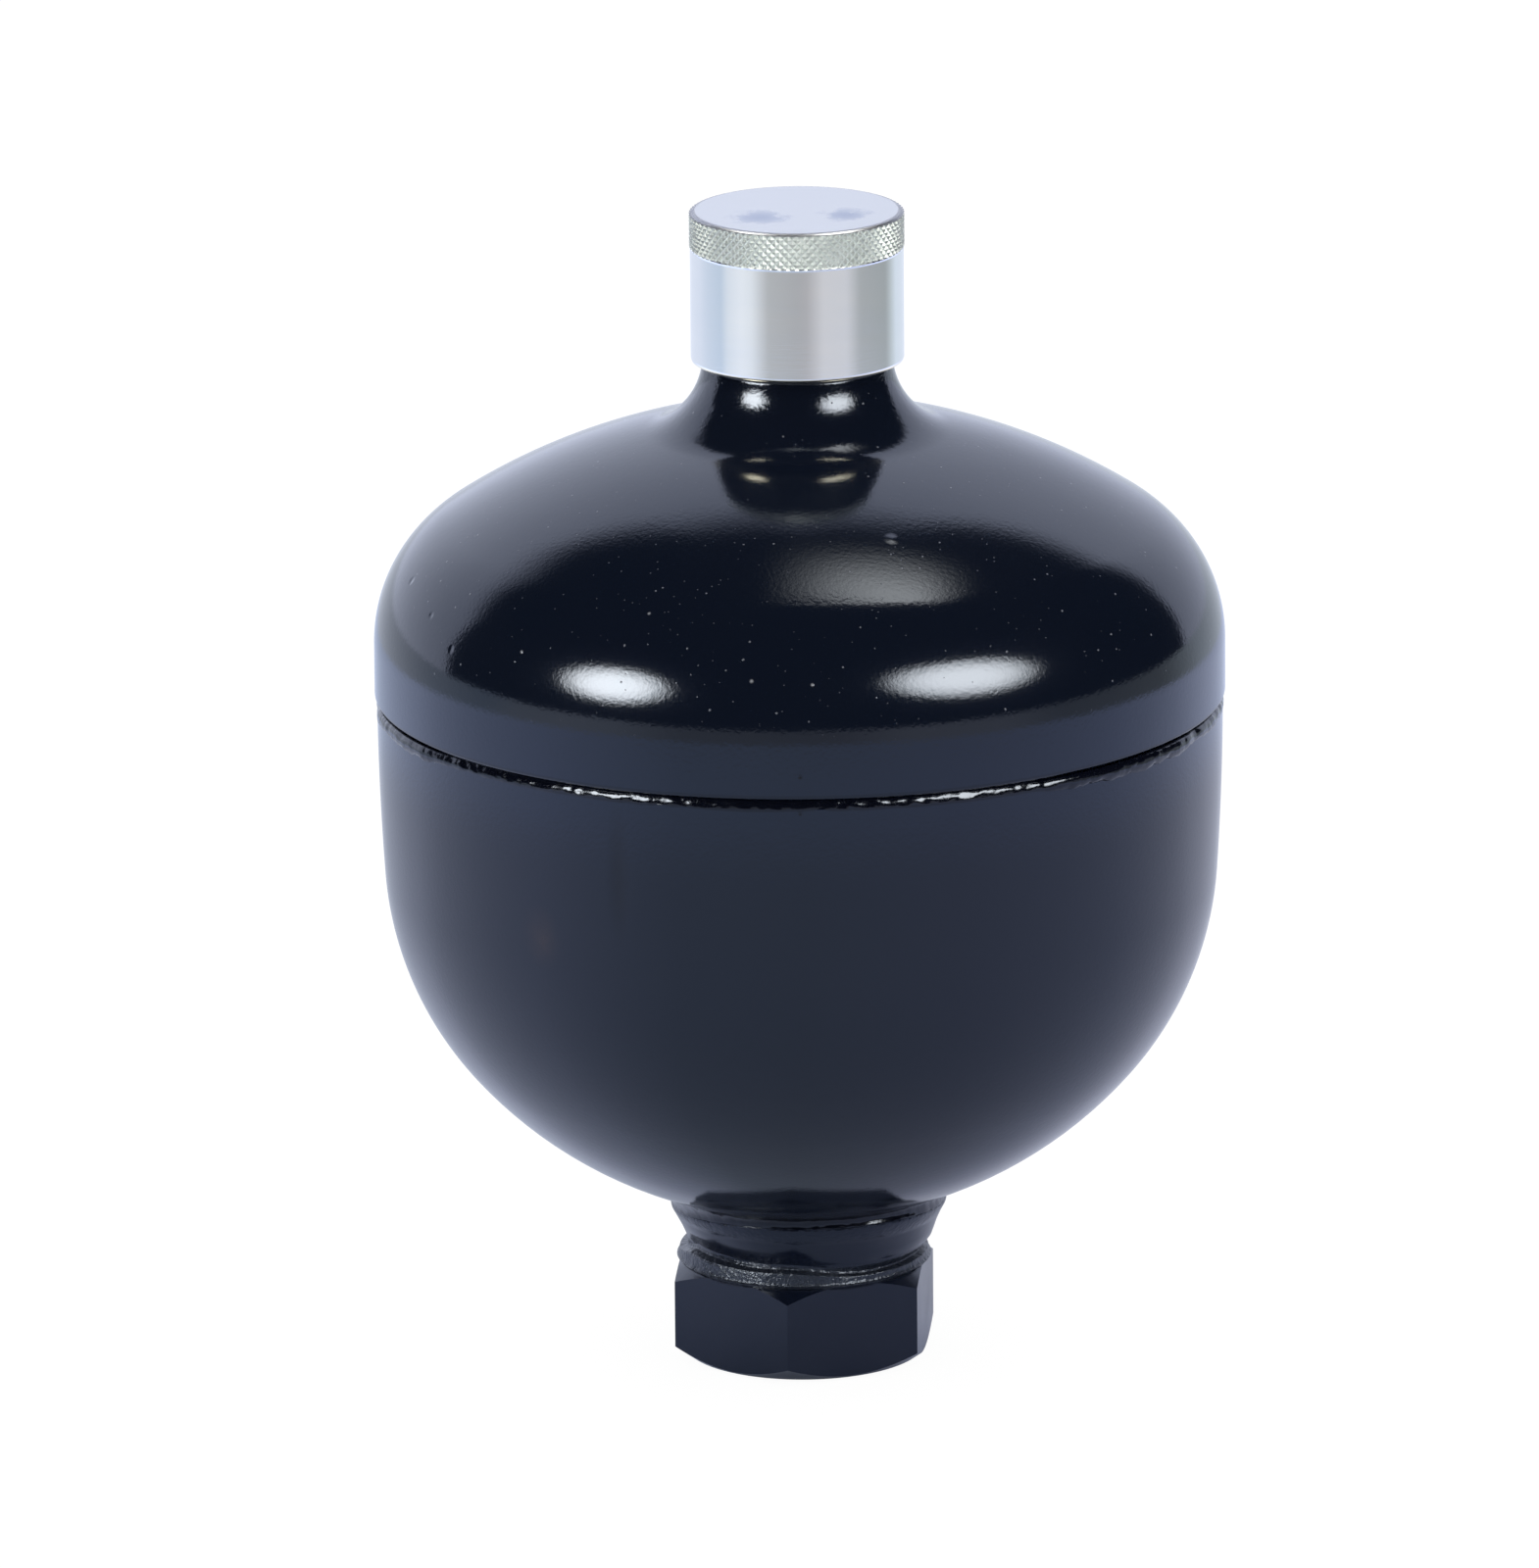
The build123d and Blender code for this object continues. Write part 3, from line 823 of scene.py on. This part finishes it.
fluidPort = {
    "corner": 23.6714,
    "hexHeight": 16.5,
    "faceRadius": 20.0,
    "faceChamfer": 2.6674,
    "topChamferRadius": 20.2,
    "topChamfer": 2.5,
    "collar": 20.95,
    "collarHeight": 2.3,
    "groove": 19.7,
    "flangeFoot": 3.2,       # both above the hexagon
    "flangeTop": 11.0,
    "flangeRoot": 20.1,
    "rim": 24.2,
    "weldGap": 1.6,
    "spigot": 12.0,
    "passage": 4.5,
    "threadRadius": 10.48,
    "threadEnd": 17.5,
    "pitch": 1.814,
    "sag": 1.3,              # how far the groove wanders down on the right
    "shift": 0.85,           # the flange was welded on a little to the right
    "rimLow": (1.6, 0.9),    # its rim hangs at the left and right
    "rimIn": 1.0,            # and is smaller there
}


def collarWander(angle):
    # 1 where the groove lies high, 0 where it lies low, with a ripple
    low = ramp(angle, -14, 26) * (1 - ramp(angle, 100, 170))
    level = 0.9 * (1 - low) + 0.12 * sin(radians(angle * 5 + 40)) + 0.1
    level -= 0.1 * ramp(angle, 20, 34) * (1 - ramp(angle, 36, 50))
    level -= 0.8 * ramp(abs(angle), 64, 86) * (1 - ramp(abs(angle), 110, 150))
    return min(max(level, 0.02), 1.0)


def bendRim(piece, over, down):
    # sets the flange over, and its rim down and in; both shares by radius and height
    a = radians(photoCamera["azimuth"])
    for vertex in piece.data.vertices:
        middle = vertex.co / mm
        angle, r = roundFrom(middle), sqrt(middle.x ** 2 + middle.y ** 2)
        left, right = fluidPort["rimLow"]
        sides = 1 - ramp(abs(angle), 120, 175)
        low = (left * ramp(-angle, 20, 80) + right * ramp(angle, 30, 85)) * sides * down(r, middle.z)
        inwards = fluidPort["rimIn"] * ramp(abs(angle), 25, 75) * sides * down(r, middle.z) / max(r, 1)
        move = Vector((cos(a), sin(a), 0)) * fluidPort["shift"] * over(r, middle.z)
        vertex.co += (move - Vector((middle.x * inwards, middle.y * inwards, low))) * mm


def makeFluidPort():
    s = fluidPort
    high, seat = s["hexHeight"], topOf("fluid_port")
    crownZ = bowlPlaces()[2]
    weldFace = lowerShell["crown"] + s["weldGap"]
    letGo()
    bpy.ops.mesh.primitive_cylinder_add(vertices=6, radius=s["corner"] * mm, depth=high * mm,
                                        location=(0, 0, high / 2 * mm))
    hexagon = bpy.context.object
    hexagon.name = hexagon.data.name = "fluidPortBody"
    pick(hexagon)
    bpy.ops.object.transform_apply(location=True, rotation=True, scale=True)
    over = 0.6
    blank = turnPiece("blank", [
        (0, -0.001),
        (s["faceRadius"], 0),
        (s["corner"] + over, s["faceChamfer"] * (1 + over / (s["corner"] - s["faceRadius"]))),
        (s["corner"] + over, high - s["topChamfer"] * (1 + over / (s["corner"] - s["topChamferRadius"]))),
        (s["topChamferRadius"], high),
        (0, high + 0.001),
    ], 192)
    cutWith(hexagon, blank, "INTERSECT")
    spigotZ = crownZ - sqrt(weldFace ** 2 - s["spigot"] ** 2)
    rimTop = high + s["flangeTop"]
    start = degrees(atan2(rimTop - crownZ, s["rim"]))
    end = degrees(atan2(spigotZ - crownZ, s["spigot"]))
    collar, groove, grooveZ = s["collar"], s["groove"], high + s["collarHeight"]
    outline = [(0, high - 1), (collar - 0.3, high - 1), (collar + 0.45, high - 0.05)]
    outline += [(collar + 0.18, high + 0.12), (collar + 0.04, high + 0.35), (collar, high + 0.6)]
    outline += [(collar, high + 1.7), (collar - 0.06, high + 1.9), (groove + 0.12, grooveZ - 0.15)]
    outline += [(groove, grooveZ + 0.15), (groove + 0.1, grooveZ + 0.55)]
    outline += [(s["flangeRoot"], high + s["flangeFoot"])]
    wider, taller = s["rim"] - 0.1 - s["flangeRoot"], s["flangeTop"] - 0.75 - s["flangeFoot"]
    outline += [(s["flangeRoot"] + wider * i / 6, high + s["flangeFoot"] + taller * i / 6)
                for i in range(1, 7)]
    outline += [(s["rim"], rimTop - 0.35), (s["rim"] - 0.04, rimTop - 0.12), (s["rim"] - 0.16, rimTop)]
    outline += arc((0, crownZ), weldFace, start, end - start, 8)[1:]
    outline += [(s["spigot"], seat - 1.2), (s["spigot"] - 1.2, seat), (0, seat)]
    upper = turnPiece("upper", outline, 288)
    near = lambda z: ramp(z, high + 0.2, grooveZ) * (1 - ramp(z, grooveZ + 0.5, high + 7))
    wander = lambda r, z, a: near(z) * ramp(r, 18, 19) * collarWander(a)
    swellSome(upper, "wander", s["sag"], wander, None, "Z")
    for vertex in upper.data.vertices:
        middle = vertex.co / mm
        if sqrt(middle.x ** 2 + middle.y ** 2) > 19:
            vertex.co.z -= s["sag"] * 0.62 * near(middle.z) * mm
    bendRim(upper, lambda r, z: ramp(z, high + 1.2, high + 3.5) * ramp(r, 13.5, 19),
            lambda r, z: ramp(z, high + 3.5, high + 10) * ramp(r, 13.5, 20))
    cutWith(hexagon, upper, "UNION")
    cone = (s["threadRadius"] - s["passage"]) / 1.6643
    bore = turnPiece("bore", [
        (0, -1),
        (s["threadRadius"] + 2, -1),
        (s["threadRadius"], 1),
        (s["threadRadius"], s["threadEnd"]),
        (s["passage"], s["threadEnd"] + cone),
        (s["passage"], seat + 1),
        (0, seat + 1),
    ], 128)
    cutWith(hexagon, bore, "DIFFERENCE")
    settle(hexagon, 22)
    dress(hexagon, hexPaint, steel)
    dressFaces(hexagon, 1, lambda r, z: r < s["threadRadius"] + 0.1 and z < seat - 0.1)
    root = s["threadRadius"] + 0.05
    ridge = [(root, 1.2), (root - 1.17, 1.92), (root - 1.17, 2.22), (root, 2.94)]
    thread = dress(threadRidge("portThread", ridge, s["pitch"], 7), hexPaint, steel)
    dressFaces(thread, 1, lambda r, z: True)
    joinUp(hexagon, thread)
    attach(hexagon, "vessel")
    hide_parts("fluid_port")
    return hexagon


# weld between the flange and the bowl, a hollow fillet

portBead = {"bore": 12.3, "throat": 24.0, "reach": 25.0, "lumps": 0.25}


def makePortBead():
    p = portBead
    crownZ = bowlPlaces()[2]
    crown = lowerShell["crown"]
    weldFace = crown + fluidPort["weldGap"]

    def under(radius, sphere):
        return crownZ - sqrt(sphere ** 2 - radius ** 2)

    low = fluidPort["rim"] - 0.12
    outline = [(p["bore"], under(p["bore"], weldFace))]
    outline += [(r, under(r, weldFace)) for r in (15.0, 18.0, 21.0, low)]
    outline += [(low - 0.02, under(low, weldFace) + 0.25), (p["throat"] - 0.05, under(low, weldFace) + 0.6)]
    outline += [(p["throat"] + 0.1, under(low, weldFace) + 1.1)]
    outline += [(p["throat"] + 0.45, under(p["reach"], crown) - 0.35)]
    outline += [(r, under(r, crown) + 0.02) for r in (p["reach"], 21.0, 18.0, 15.0, p["bore"])]
    outline += outline[:1]
    piece = dress(turnPiece("portBead", outline, 360, 50), beadPaint)
    swellSome(piece, "lumps", p["lumps"], lambda r, z, a: ramp(r, 23.2, 23.9), 1.8)
    lower = lambda r, z: 1 - ramp(z, under(r, weldFace) + 0.2, under(r, crown) - 0.1)
    bendRim(piece, lambda r, z: ramp(r, 13.5, 19) * lower(r, z), lambda r, z: ramp(r, 13.5, 20) * lower(r, z))
    settle(piece, 50)
    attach(piece, "vessel")
    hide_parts("port_weld")
    return piece


hexPaint = makePortPaint()
makeFluidPort()
makePortBead()
print("fluid port cut")


# protective cap

zincCap = {
    "wall": 17.75,
    "bore": 14.05,
    "hollow": 11.0,
    "roof": 4.0,
    "knurlRoot": 17.50,
    "knurlCrest": 17.88,
    "knurlHeight": 5.6,
    "knurlDrop": 0.35,       # below the top
    "knurlRound": 78,
    "knurlRows": 4,
}


def makeCap():
    s = zincCap
    foot, top, shoulder = footOf("protective_cap"), topOf("protective_cap"), topOf("cap_gasket")
    knurlTop = top - s["knurlDrop"]
    knurlFoot = knurlTop - s["knurlHeight"]
    outline = [(0, top), (s["knurlRoot"] - 0.7, top), (s["knurlRoot"] - 0.45, top)]
    outline += [(s["knurlRoot"] - 0.12, top - 0.10)]
    outline += [(s["knurlRoot"], knurlTop), (s["knurlRoot"], knurlFoot), (s["wall"] + 0.03, knurlFoot - 0.2)]
    outline += [(s["wall"], knurlFoot - 0.35), (s["wall"], knurlFoot - 0.6), (s["wall"], foot + 0.8)]
    outline += [(s["wall"], foot + 0.55), (s["wall"] - 0.12, foot + 0.2)]
    outline += [(s["wall"] - 0.45, foot), (s["bore"] + 0.8, foot), (s["bore"], foot + 0.8)]
    outline += [(s["bore"], shoulder), (s["hollow"], shoulder)]
    outline += [(s["hollow"], top - s["roof"]), (0, top - s["roof"])]
    cap = turnPiece("capBody", outline, 256)
    dress(cap, plate, knurled)
    dressFaces(cap, 1, lambda r, z: knurlFoot < z < knurlTop and r > s["knurlRoot"] - 0.1)
    return cap


def makeKnurl(cap):
    # one four-sided diamond, set in rows and then round by an array
    s = zincCap
    around = 2 * pi * s["knurlRoot"] / s["knurlRound"]
    rise = s["knurlHeight"] / s["knurlRows"]
    depth = s["knurlCrest"] - s["knurlRoot"] + 0.05
    knurlTop = topOf("protective_cap") - s["knurlDrop"]
    knurlFoot = knurlTop - s["knurlHeight"]
    column = []
    for half in (0, 1):
        for row in range(s["knurlRows"] + half):
            z = knurlFoot + rise * (row + 0.5 - half * 0.5)
            letGo()
            bpy.ops.mesh.primitive_cone_add(vertices=4, radius1=0.5, radius2=0.09, depth=1,
                                            location=(0, 0, 0), rotation=(0, pi / 2, 0))
            diamond = bpy.context.object
            bpy.ops.object.transform_apply(location=False, rotation=True, scale=False)
            diamond.scale = (depth * mm, around * mm, rise * mm)
            diamond.location = ((s["knurlRoot"] - 0.05 + depth / 2) * mm, 0, z * mm)
            bpy.ops.object.transform_apply(location=True, rotation=True, scale=True)
            if half:
                bpy.ops.object.mode_set(mode="EDIT")
                bpy.ops.mesh.select_all(action="SELECT")
                bpy.ops.transform.rotate(value=pi / s["knurlRound"], orient_axis="Z",
                                         center_override=(0, 0, 0))
                bpy.ops.object.mode_set(mode="OBJECT")
            column.append(diamond)
    diamonds = joinUp(*column)
    diamonds.name = "knurl"
    for vertex in diamonds.data.vertices:      # the end rows are cut off level
        vertex.co.z = min(max(vertex.co.z, knurlFoot * mm), knurlTop * mm)
    bpy.ops.object.empty_add(location=(0, 0, 0), rotation=(0, 0, 2 * pi / s["knurlRound"]))
    step = bpy.context.object
    pick(diamonds)
    rows = diamonds.modifiers.new("round", "ARRAY")
    rows.use_relative_offset = False
    rows.use_object_offset = True
    rows.offset_object = step
    rows.count = s["knurlRound"]
    bpy.ops.object.modifier_apply(modifier="round")
    bpy.data.objects.remove(step)
    dress(diamonds, plate, knurled)
    dressFaces(diamonds, 1, lambda r, z: True)
    joinUp(cap, diamonds)


def finishCap():
    s = zincCap
    cap = makeCap()
    makeKnurl(cap)
    start = footOf("protective_cap") + 2.45
    ridge = [(s["bore"] + 0.05, start), (s["bore"] - 0.85, start + 0.52), (s["bore"] - 0.85, start + 0.72),
             (s["bore"] + 0.05, start + 1.24)]
    thread = dress(threadRidge("capThread", ridge, upperShell["pitch"], 8), plate)
    joinUp(cap, thread)
    settle(cap, 22)
    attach(cap, "cap")
    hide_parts("protective_cap")


plate = makeZincPlate()
knurled = makeKnurlPlate()
finishCap()
print("cap knurled")


# diaphragm, turned as it lies; the real one folds upwards with the button

rubberCup = {
    "gap": 0.3,
    "skin": 2.5,
    "beadInner": 60.9,
    "beadOuter": 65.8,
    "beadRound": 0.8,
    "pad": 17.0,
    "button": 14.3,
    "boss": 6.3,
    "buttonHigh": 4.0,
    "bossHigh": 6.0,
    "cover": 2.0,
}


def makeDiaphragm():
    d = rubberCup
    seat = footOf("valve_button")
    inset = lowerShell["wall"] + d["gap"]
    middle = (lowerShell["grooveFoot"] + lowerShell["grooveTop"]) / 2
    low, high = seam - lowerShell["grooveFoot"] + d["gap"], seam - lowerShell["grooveTop"] - d["gap"]
    top = seat + d["bossHigh"] + d["cover"]
    n = d["beadRound"]
    outer = bowlCurve(inset, middle, d["button"], (8, 24, 14))
    inner = bowlCurve(inset + d["skin"], middle, d["pad"], (8, 24, 12))
    outline = [(0, seat + d["bossHigh"]), (d["boss"], seat + d["bossHigh"])]
    outline += [(d["boss"], seat + d["buttonHigh"])]
    outline += [(d["button"], seat + d["buttonHigh"])] + outer[::-1][:-3]
    outline += [(outer[2][0], low), (d["beadOuter"] - n, low), (d["beadOuter"], low + n)]
    outline += [(d["beadOuter"], high - n), (d["beadOuter"] - n, high), (d["beadInner"] + n, high)]
    outline += [(d["beadInner"], high - n)]
    outline += [(inner[2][0], low)] + inner[3:]
    outline += [(d["pad"], top - 1.0), (d["pad"] - 0.3, top - 0.3), (d["pad"] - 1.0, top), (0, top)]
    piece = dress(turnPiece("rubberDiaphragm", outline, 144, 40), rubber)
    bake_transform(piece)
    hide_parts("diaphragm")


makeDiaphragm()

for name, material in {
    "clamp_ring": steel,
    "valve_button": steel,
    "charging_screw": steel,
    "screw_seal": rubber,
    "cap_gasket": rubber,
}.items():
    dress(nodes[name], material)
print("inner pieces dressed")


# studio: pale floor, soft surround seen in reflections, white behind

studio = {
    "floorSize": 9.0,
    "floorDrop": -0.0004,
    "white": (1, 1, 1, 1),
    # colours of the floor in a reflection by degrees round, near the object and further out; near the object
    # they are darker, a painted shadow of the vessel
    "floorNearPaintedShadow": [
        (-180, 0.64, 0.68, 0.80), (-150, 0.66, 0.72, 0.88), (-120, 0.92, 1.00, 1.28), (-70, 0.84, 0.93, 1.22),
        (-30, 0.58, 0.66, 0.82), (0, 0.55, 0.62, 0.76), (40, 0.60, 0.65, 0.84), (90, 0.72, 0.78, 1.03),
        (125, 0.84, 0.89, 1.12), (150, 0.70, 0.74, 0.90), (180, 0.64, 0.68, 0.82),
    ],
    "floorFar": [
        (-180, 0.84, 0.90, 1.04), (-130, 0.80, 0.88, 1.04), (-114, 0.70, 0.80, 0.96), (-90, 0.60, 0.72, 0.88),
        (-80, 0.80, 0.88, 0.98), (-62, 0.92, 0.98, 1.06), (-50, 0.86, 0.92, 0.99), (-31, 0.52, 0.54, 0.56),
        (0, 0.47, 0.48, 0.50), (10, 0.49, 0.49, 0.51), (28, 0.72, 0.73, 0.77), (54, 0.70, 0.72, 0.77),
        (72, 0.44, 0.47, 0.49), (110, 0.40, 0.44, 0.46), (122, 0.60, 0.68, 0.74), (132, 0.76, 0.86, 0.98),
        (180, 0.84, 0.90, 1.04),
    ],
    "brighter": (1.14, 1.20, 1.30, 1),
    "brightFrom": (0.37, 0.45),        # metres from the axis
    "farFrom": (0.58, 0.66),
    "paper": (0.9, 0.9, 0.9, 1),
    "floorGlow": 1.06,
    "seenShare": 0.90,                 # share of the floor's light that is its own glow, seen directly
    "mirroredShare": 0.20,             # and in a reflection
    "dark": (0.010, 0.012, 0.018, 1),
    "backdropLeft": (1.16, 1.25, 1.52, 1),
    "backdropRight": (0.90, 0.97, 1.20, 1),
    "backdropHigh": (1.24, 1.33, 1.62, 1),
    # the backdrop's top edge: degrees round and degrees up
    "backdropEdge": [
        (-180, 60.4), (-158, 56), (-150, 48), (-145, 42.5), (-131, 40), (-119, 32), (-111, 24), (-108, -8),
        (125, -8), (128, 18), (135, 29), (142, 36.5), (148, 43), (158, 56), (180, 60.4),
    ],
    "lamp": (1.0, 1.0, 0.92, 1),
    # lamps: middle round and up, half width and half height, tilt, softness
    "leftLamp": (-53, 20.5, 11.5, 8.6, 0.05, 1.0),
    "rightLamp": (47.3, 26, 16.2, 9.2, -0.12, 1.0),
    "radius": 3.2,
    "height": 0.13,
    "leftPower": 26.0,
    "rightPower": 20.0,
    "overPower": 5.6,
}


def makeFloor():
    letGo()
    bpy.ops.mesh.primitive_plane_add(size=studio["floorSize"], location=(0, 0, studio["floorDrop"]))
    floor = bpy.context.object
    floor.name = "paleFloor"
    floor.rotation_euler.z = radians(photoCamera["azimuth"])
    material, wire, place = startMaterial("floorPaper")
    camera = wire.node("ShaderNodeLightPath")
    glossy, through = camera.other("Is Glossy Ray"), camera.other("Is Transmission Ray")
    x = wire.node("ShaderNodeSeparateXYZ", None, {0: place})
    azimuth = wire.sum("ARCTAN2", x, wire.sum("MULTIPLY", x.other(1), -1.0)) * degrees(1)
    rings = []
    for ring in ("floorNearPaintedShadow", "floorFar"):
        stops = [((a + 180) / 360, (r, g, b, 1)) for a, r, g, b in studio[ring]]
        settings = {"stops": stops, "spread": "LINEAR"}
        rings.append(wire.node("ShaderNodeValToRGB", settings, {0: (azimuth + 180) / 360}))
    away = lengthOf(wire, place)
    bright = edgeBetween(wire, away, *studio["brightFrom"])
    # near the vessel the mirrored floor is darker: painted shadow, lifted further out
    middle = blendColours(wire, bright, rings[0], studio["brighter"], "MULTIPLY")
    mirrored = blendColours(wire, edgeBetween(wire, away, *studio["farFrom"]), middle, rings[1])
    colour = blendColours(wire, glossy, studio["white"], mirrored)
    paper = blendColours(wire, glossy, studio["paper"], mirrored)
    paper = wire.node("ShaderNodeBsdfDiffuse", None, {"Color": paper})
    glow = wire.node("ShaderNodeEmission", None, {"Color": colour, "Strength": studio["floorGlow"]})
    seen = wire.sum("MAXIMUM", camera, through)
    share = seen * studio["seenShare"] + glossy * studio["mirroredShare"]
    lit = wire.node("ShaderNodeMixShader", None, {0: share, 1: paper, 2: glow})
    below = wire.node("ShaderNodeNewGeometry", output=6)
    clear = wire.node("ShaderNodeBsdfTransparent")
    finishMaterial(wire, wire.node("ShaderNodeMixShader", None, {0: below, 1: lit, 2: clear}))
    dress(floor, material)


def makeSurround():
    letGo()
    bpy.ops.mesh.primitive_uv_sphere_add(segments=64, ring_count=32, radius=studio["radius"],
                                         location=(0, 0, studio["height"]))
    surround = bpy.context.object
    surround.name = "softSurround"
    surround.rotation_euler.z = radians(photoCamera["azimuth"])
    material, wire, place = startMaterial("surround")
    way = wire.node("ShaderNodeVectorMath", {"operation": "NORMALIZE"}, {0: place})
    x = wire.node("ShaderNodeSeparateXYZ", None, {0: way})
    y, z = x.other(1), x.other(2)
    # degrees round from the front, rightwards, and degrees up
    azimuth = wire.sum("ARCTAN2", x, wire.sum("MULTIPLY", y, -1.0)) * degrees(1)
    rise = wire.sum("ARCSINE", z) * degrees(1)
    turn = (azimuth + 180) / 360
    stops = [((a + 180) / 360, (h + 90) / 180) for a, h in studio["backdropEdge"]]
    limit = wire.node("ShaderNodeValToRGB", {"stops": stops, "spread": "LINEAR"}, {0: turn}) * 180 - 90
    backdrop = edgeBetween(wire, limit - rise, -6.0, 6.0)

    def panel(middleA, middleE, wideA, wideE, tilt, soft):
        across = (azimuth - middleA) / wideA
        up = (rise - middleE - (azimuth - middleA) * tilt) / wideE
        return 1 - edgeBetween(wire, across * across + up * up, 1 - soft, 1 + soft * 1.6)

    left, right = panel(*studio["leftLamp"]), panel(*studio["rightLamp"])
    over = edgeBetween(wire, x, -0.09, 0.22) * (1 - edgeBetween(wire, x, 0.25, 0.38))
    over = over * (1 - edgeBetween(wire, y, 0.17, 0.42)) * edgeBetween(wire, y, 0.135, 0.155)
    over = over * edgeBetween(wire, z, 0.7, 0.8)
    side = edgeBetween(wire, x, -0.25, 0.25)
    low = blendColours(wire, side, studio["backdropLeft"], studio["backdropRight"])
    white = blendColours(wire, edgeBetween(wire, rise, 15, 48), low, studio["backdropHigh"])
    level = blendColours(wire, backdrop, studio["dark"], white)
    glow = wire.node("ShaderNodeEmission", None, {"Color": level, "Strength": 1.0})
    lamps = wire.node("ShaderNodeEmission", None, {
        "Color": studio["lamp"],
        "Strength": left * studio["leftPower"] + right * studio["rightPower"] + over * studio["overPower"],
    })
    finishMaterial(wire, wire.node("ShaderNodeAddShader", None, {0: glow, 1: lamps}))
    dress(surround, material)
    for way in ("camera", "diffuse", "shadow", "transmission", "volume_scatter"):
        setattr(surround, "visible_" + way, False)


def makeWorld():
    world = bpy.data.worlds.new("studioWhite")
    bpy.context.scene.world = world
    world.use_nodes = True
    world.node_tree.nodes.clear()
    wire = Wire(world.node_tree)
    glow = wire.node("ShaderNodeBackground", None, {"Color": studio["white"], "Strength": 1.0})
    wire.node("ShaderNodeOutputWorld", None, {"Surface": glow})


makeFloor()
makeSurround()
makeWorld()
bpy.context.scene.view_settings.view_transform = "Standard"
print("studio ready")
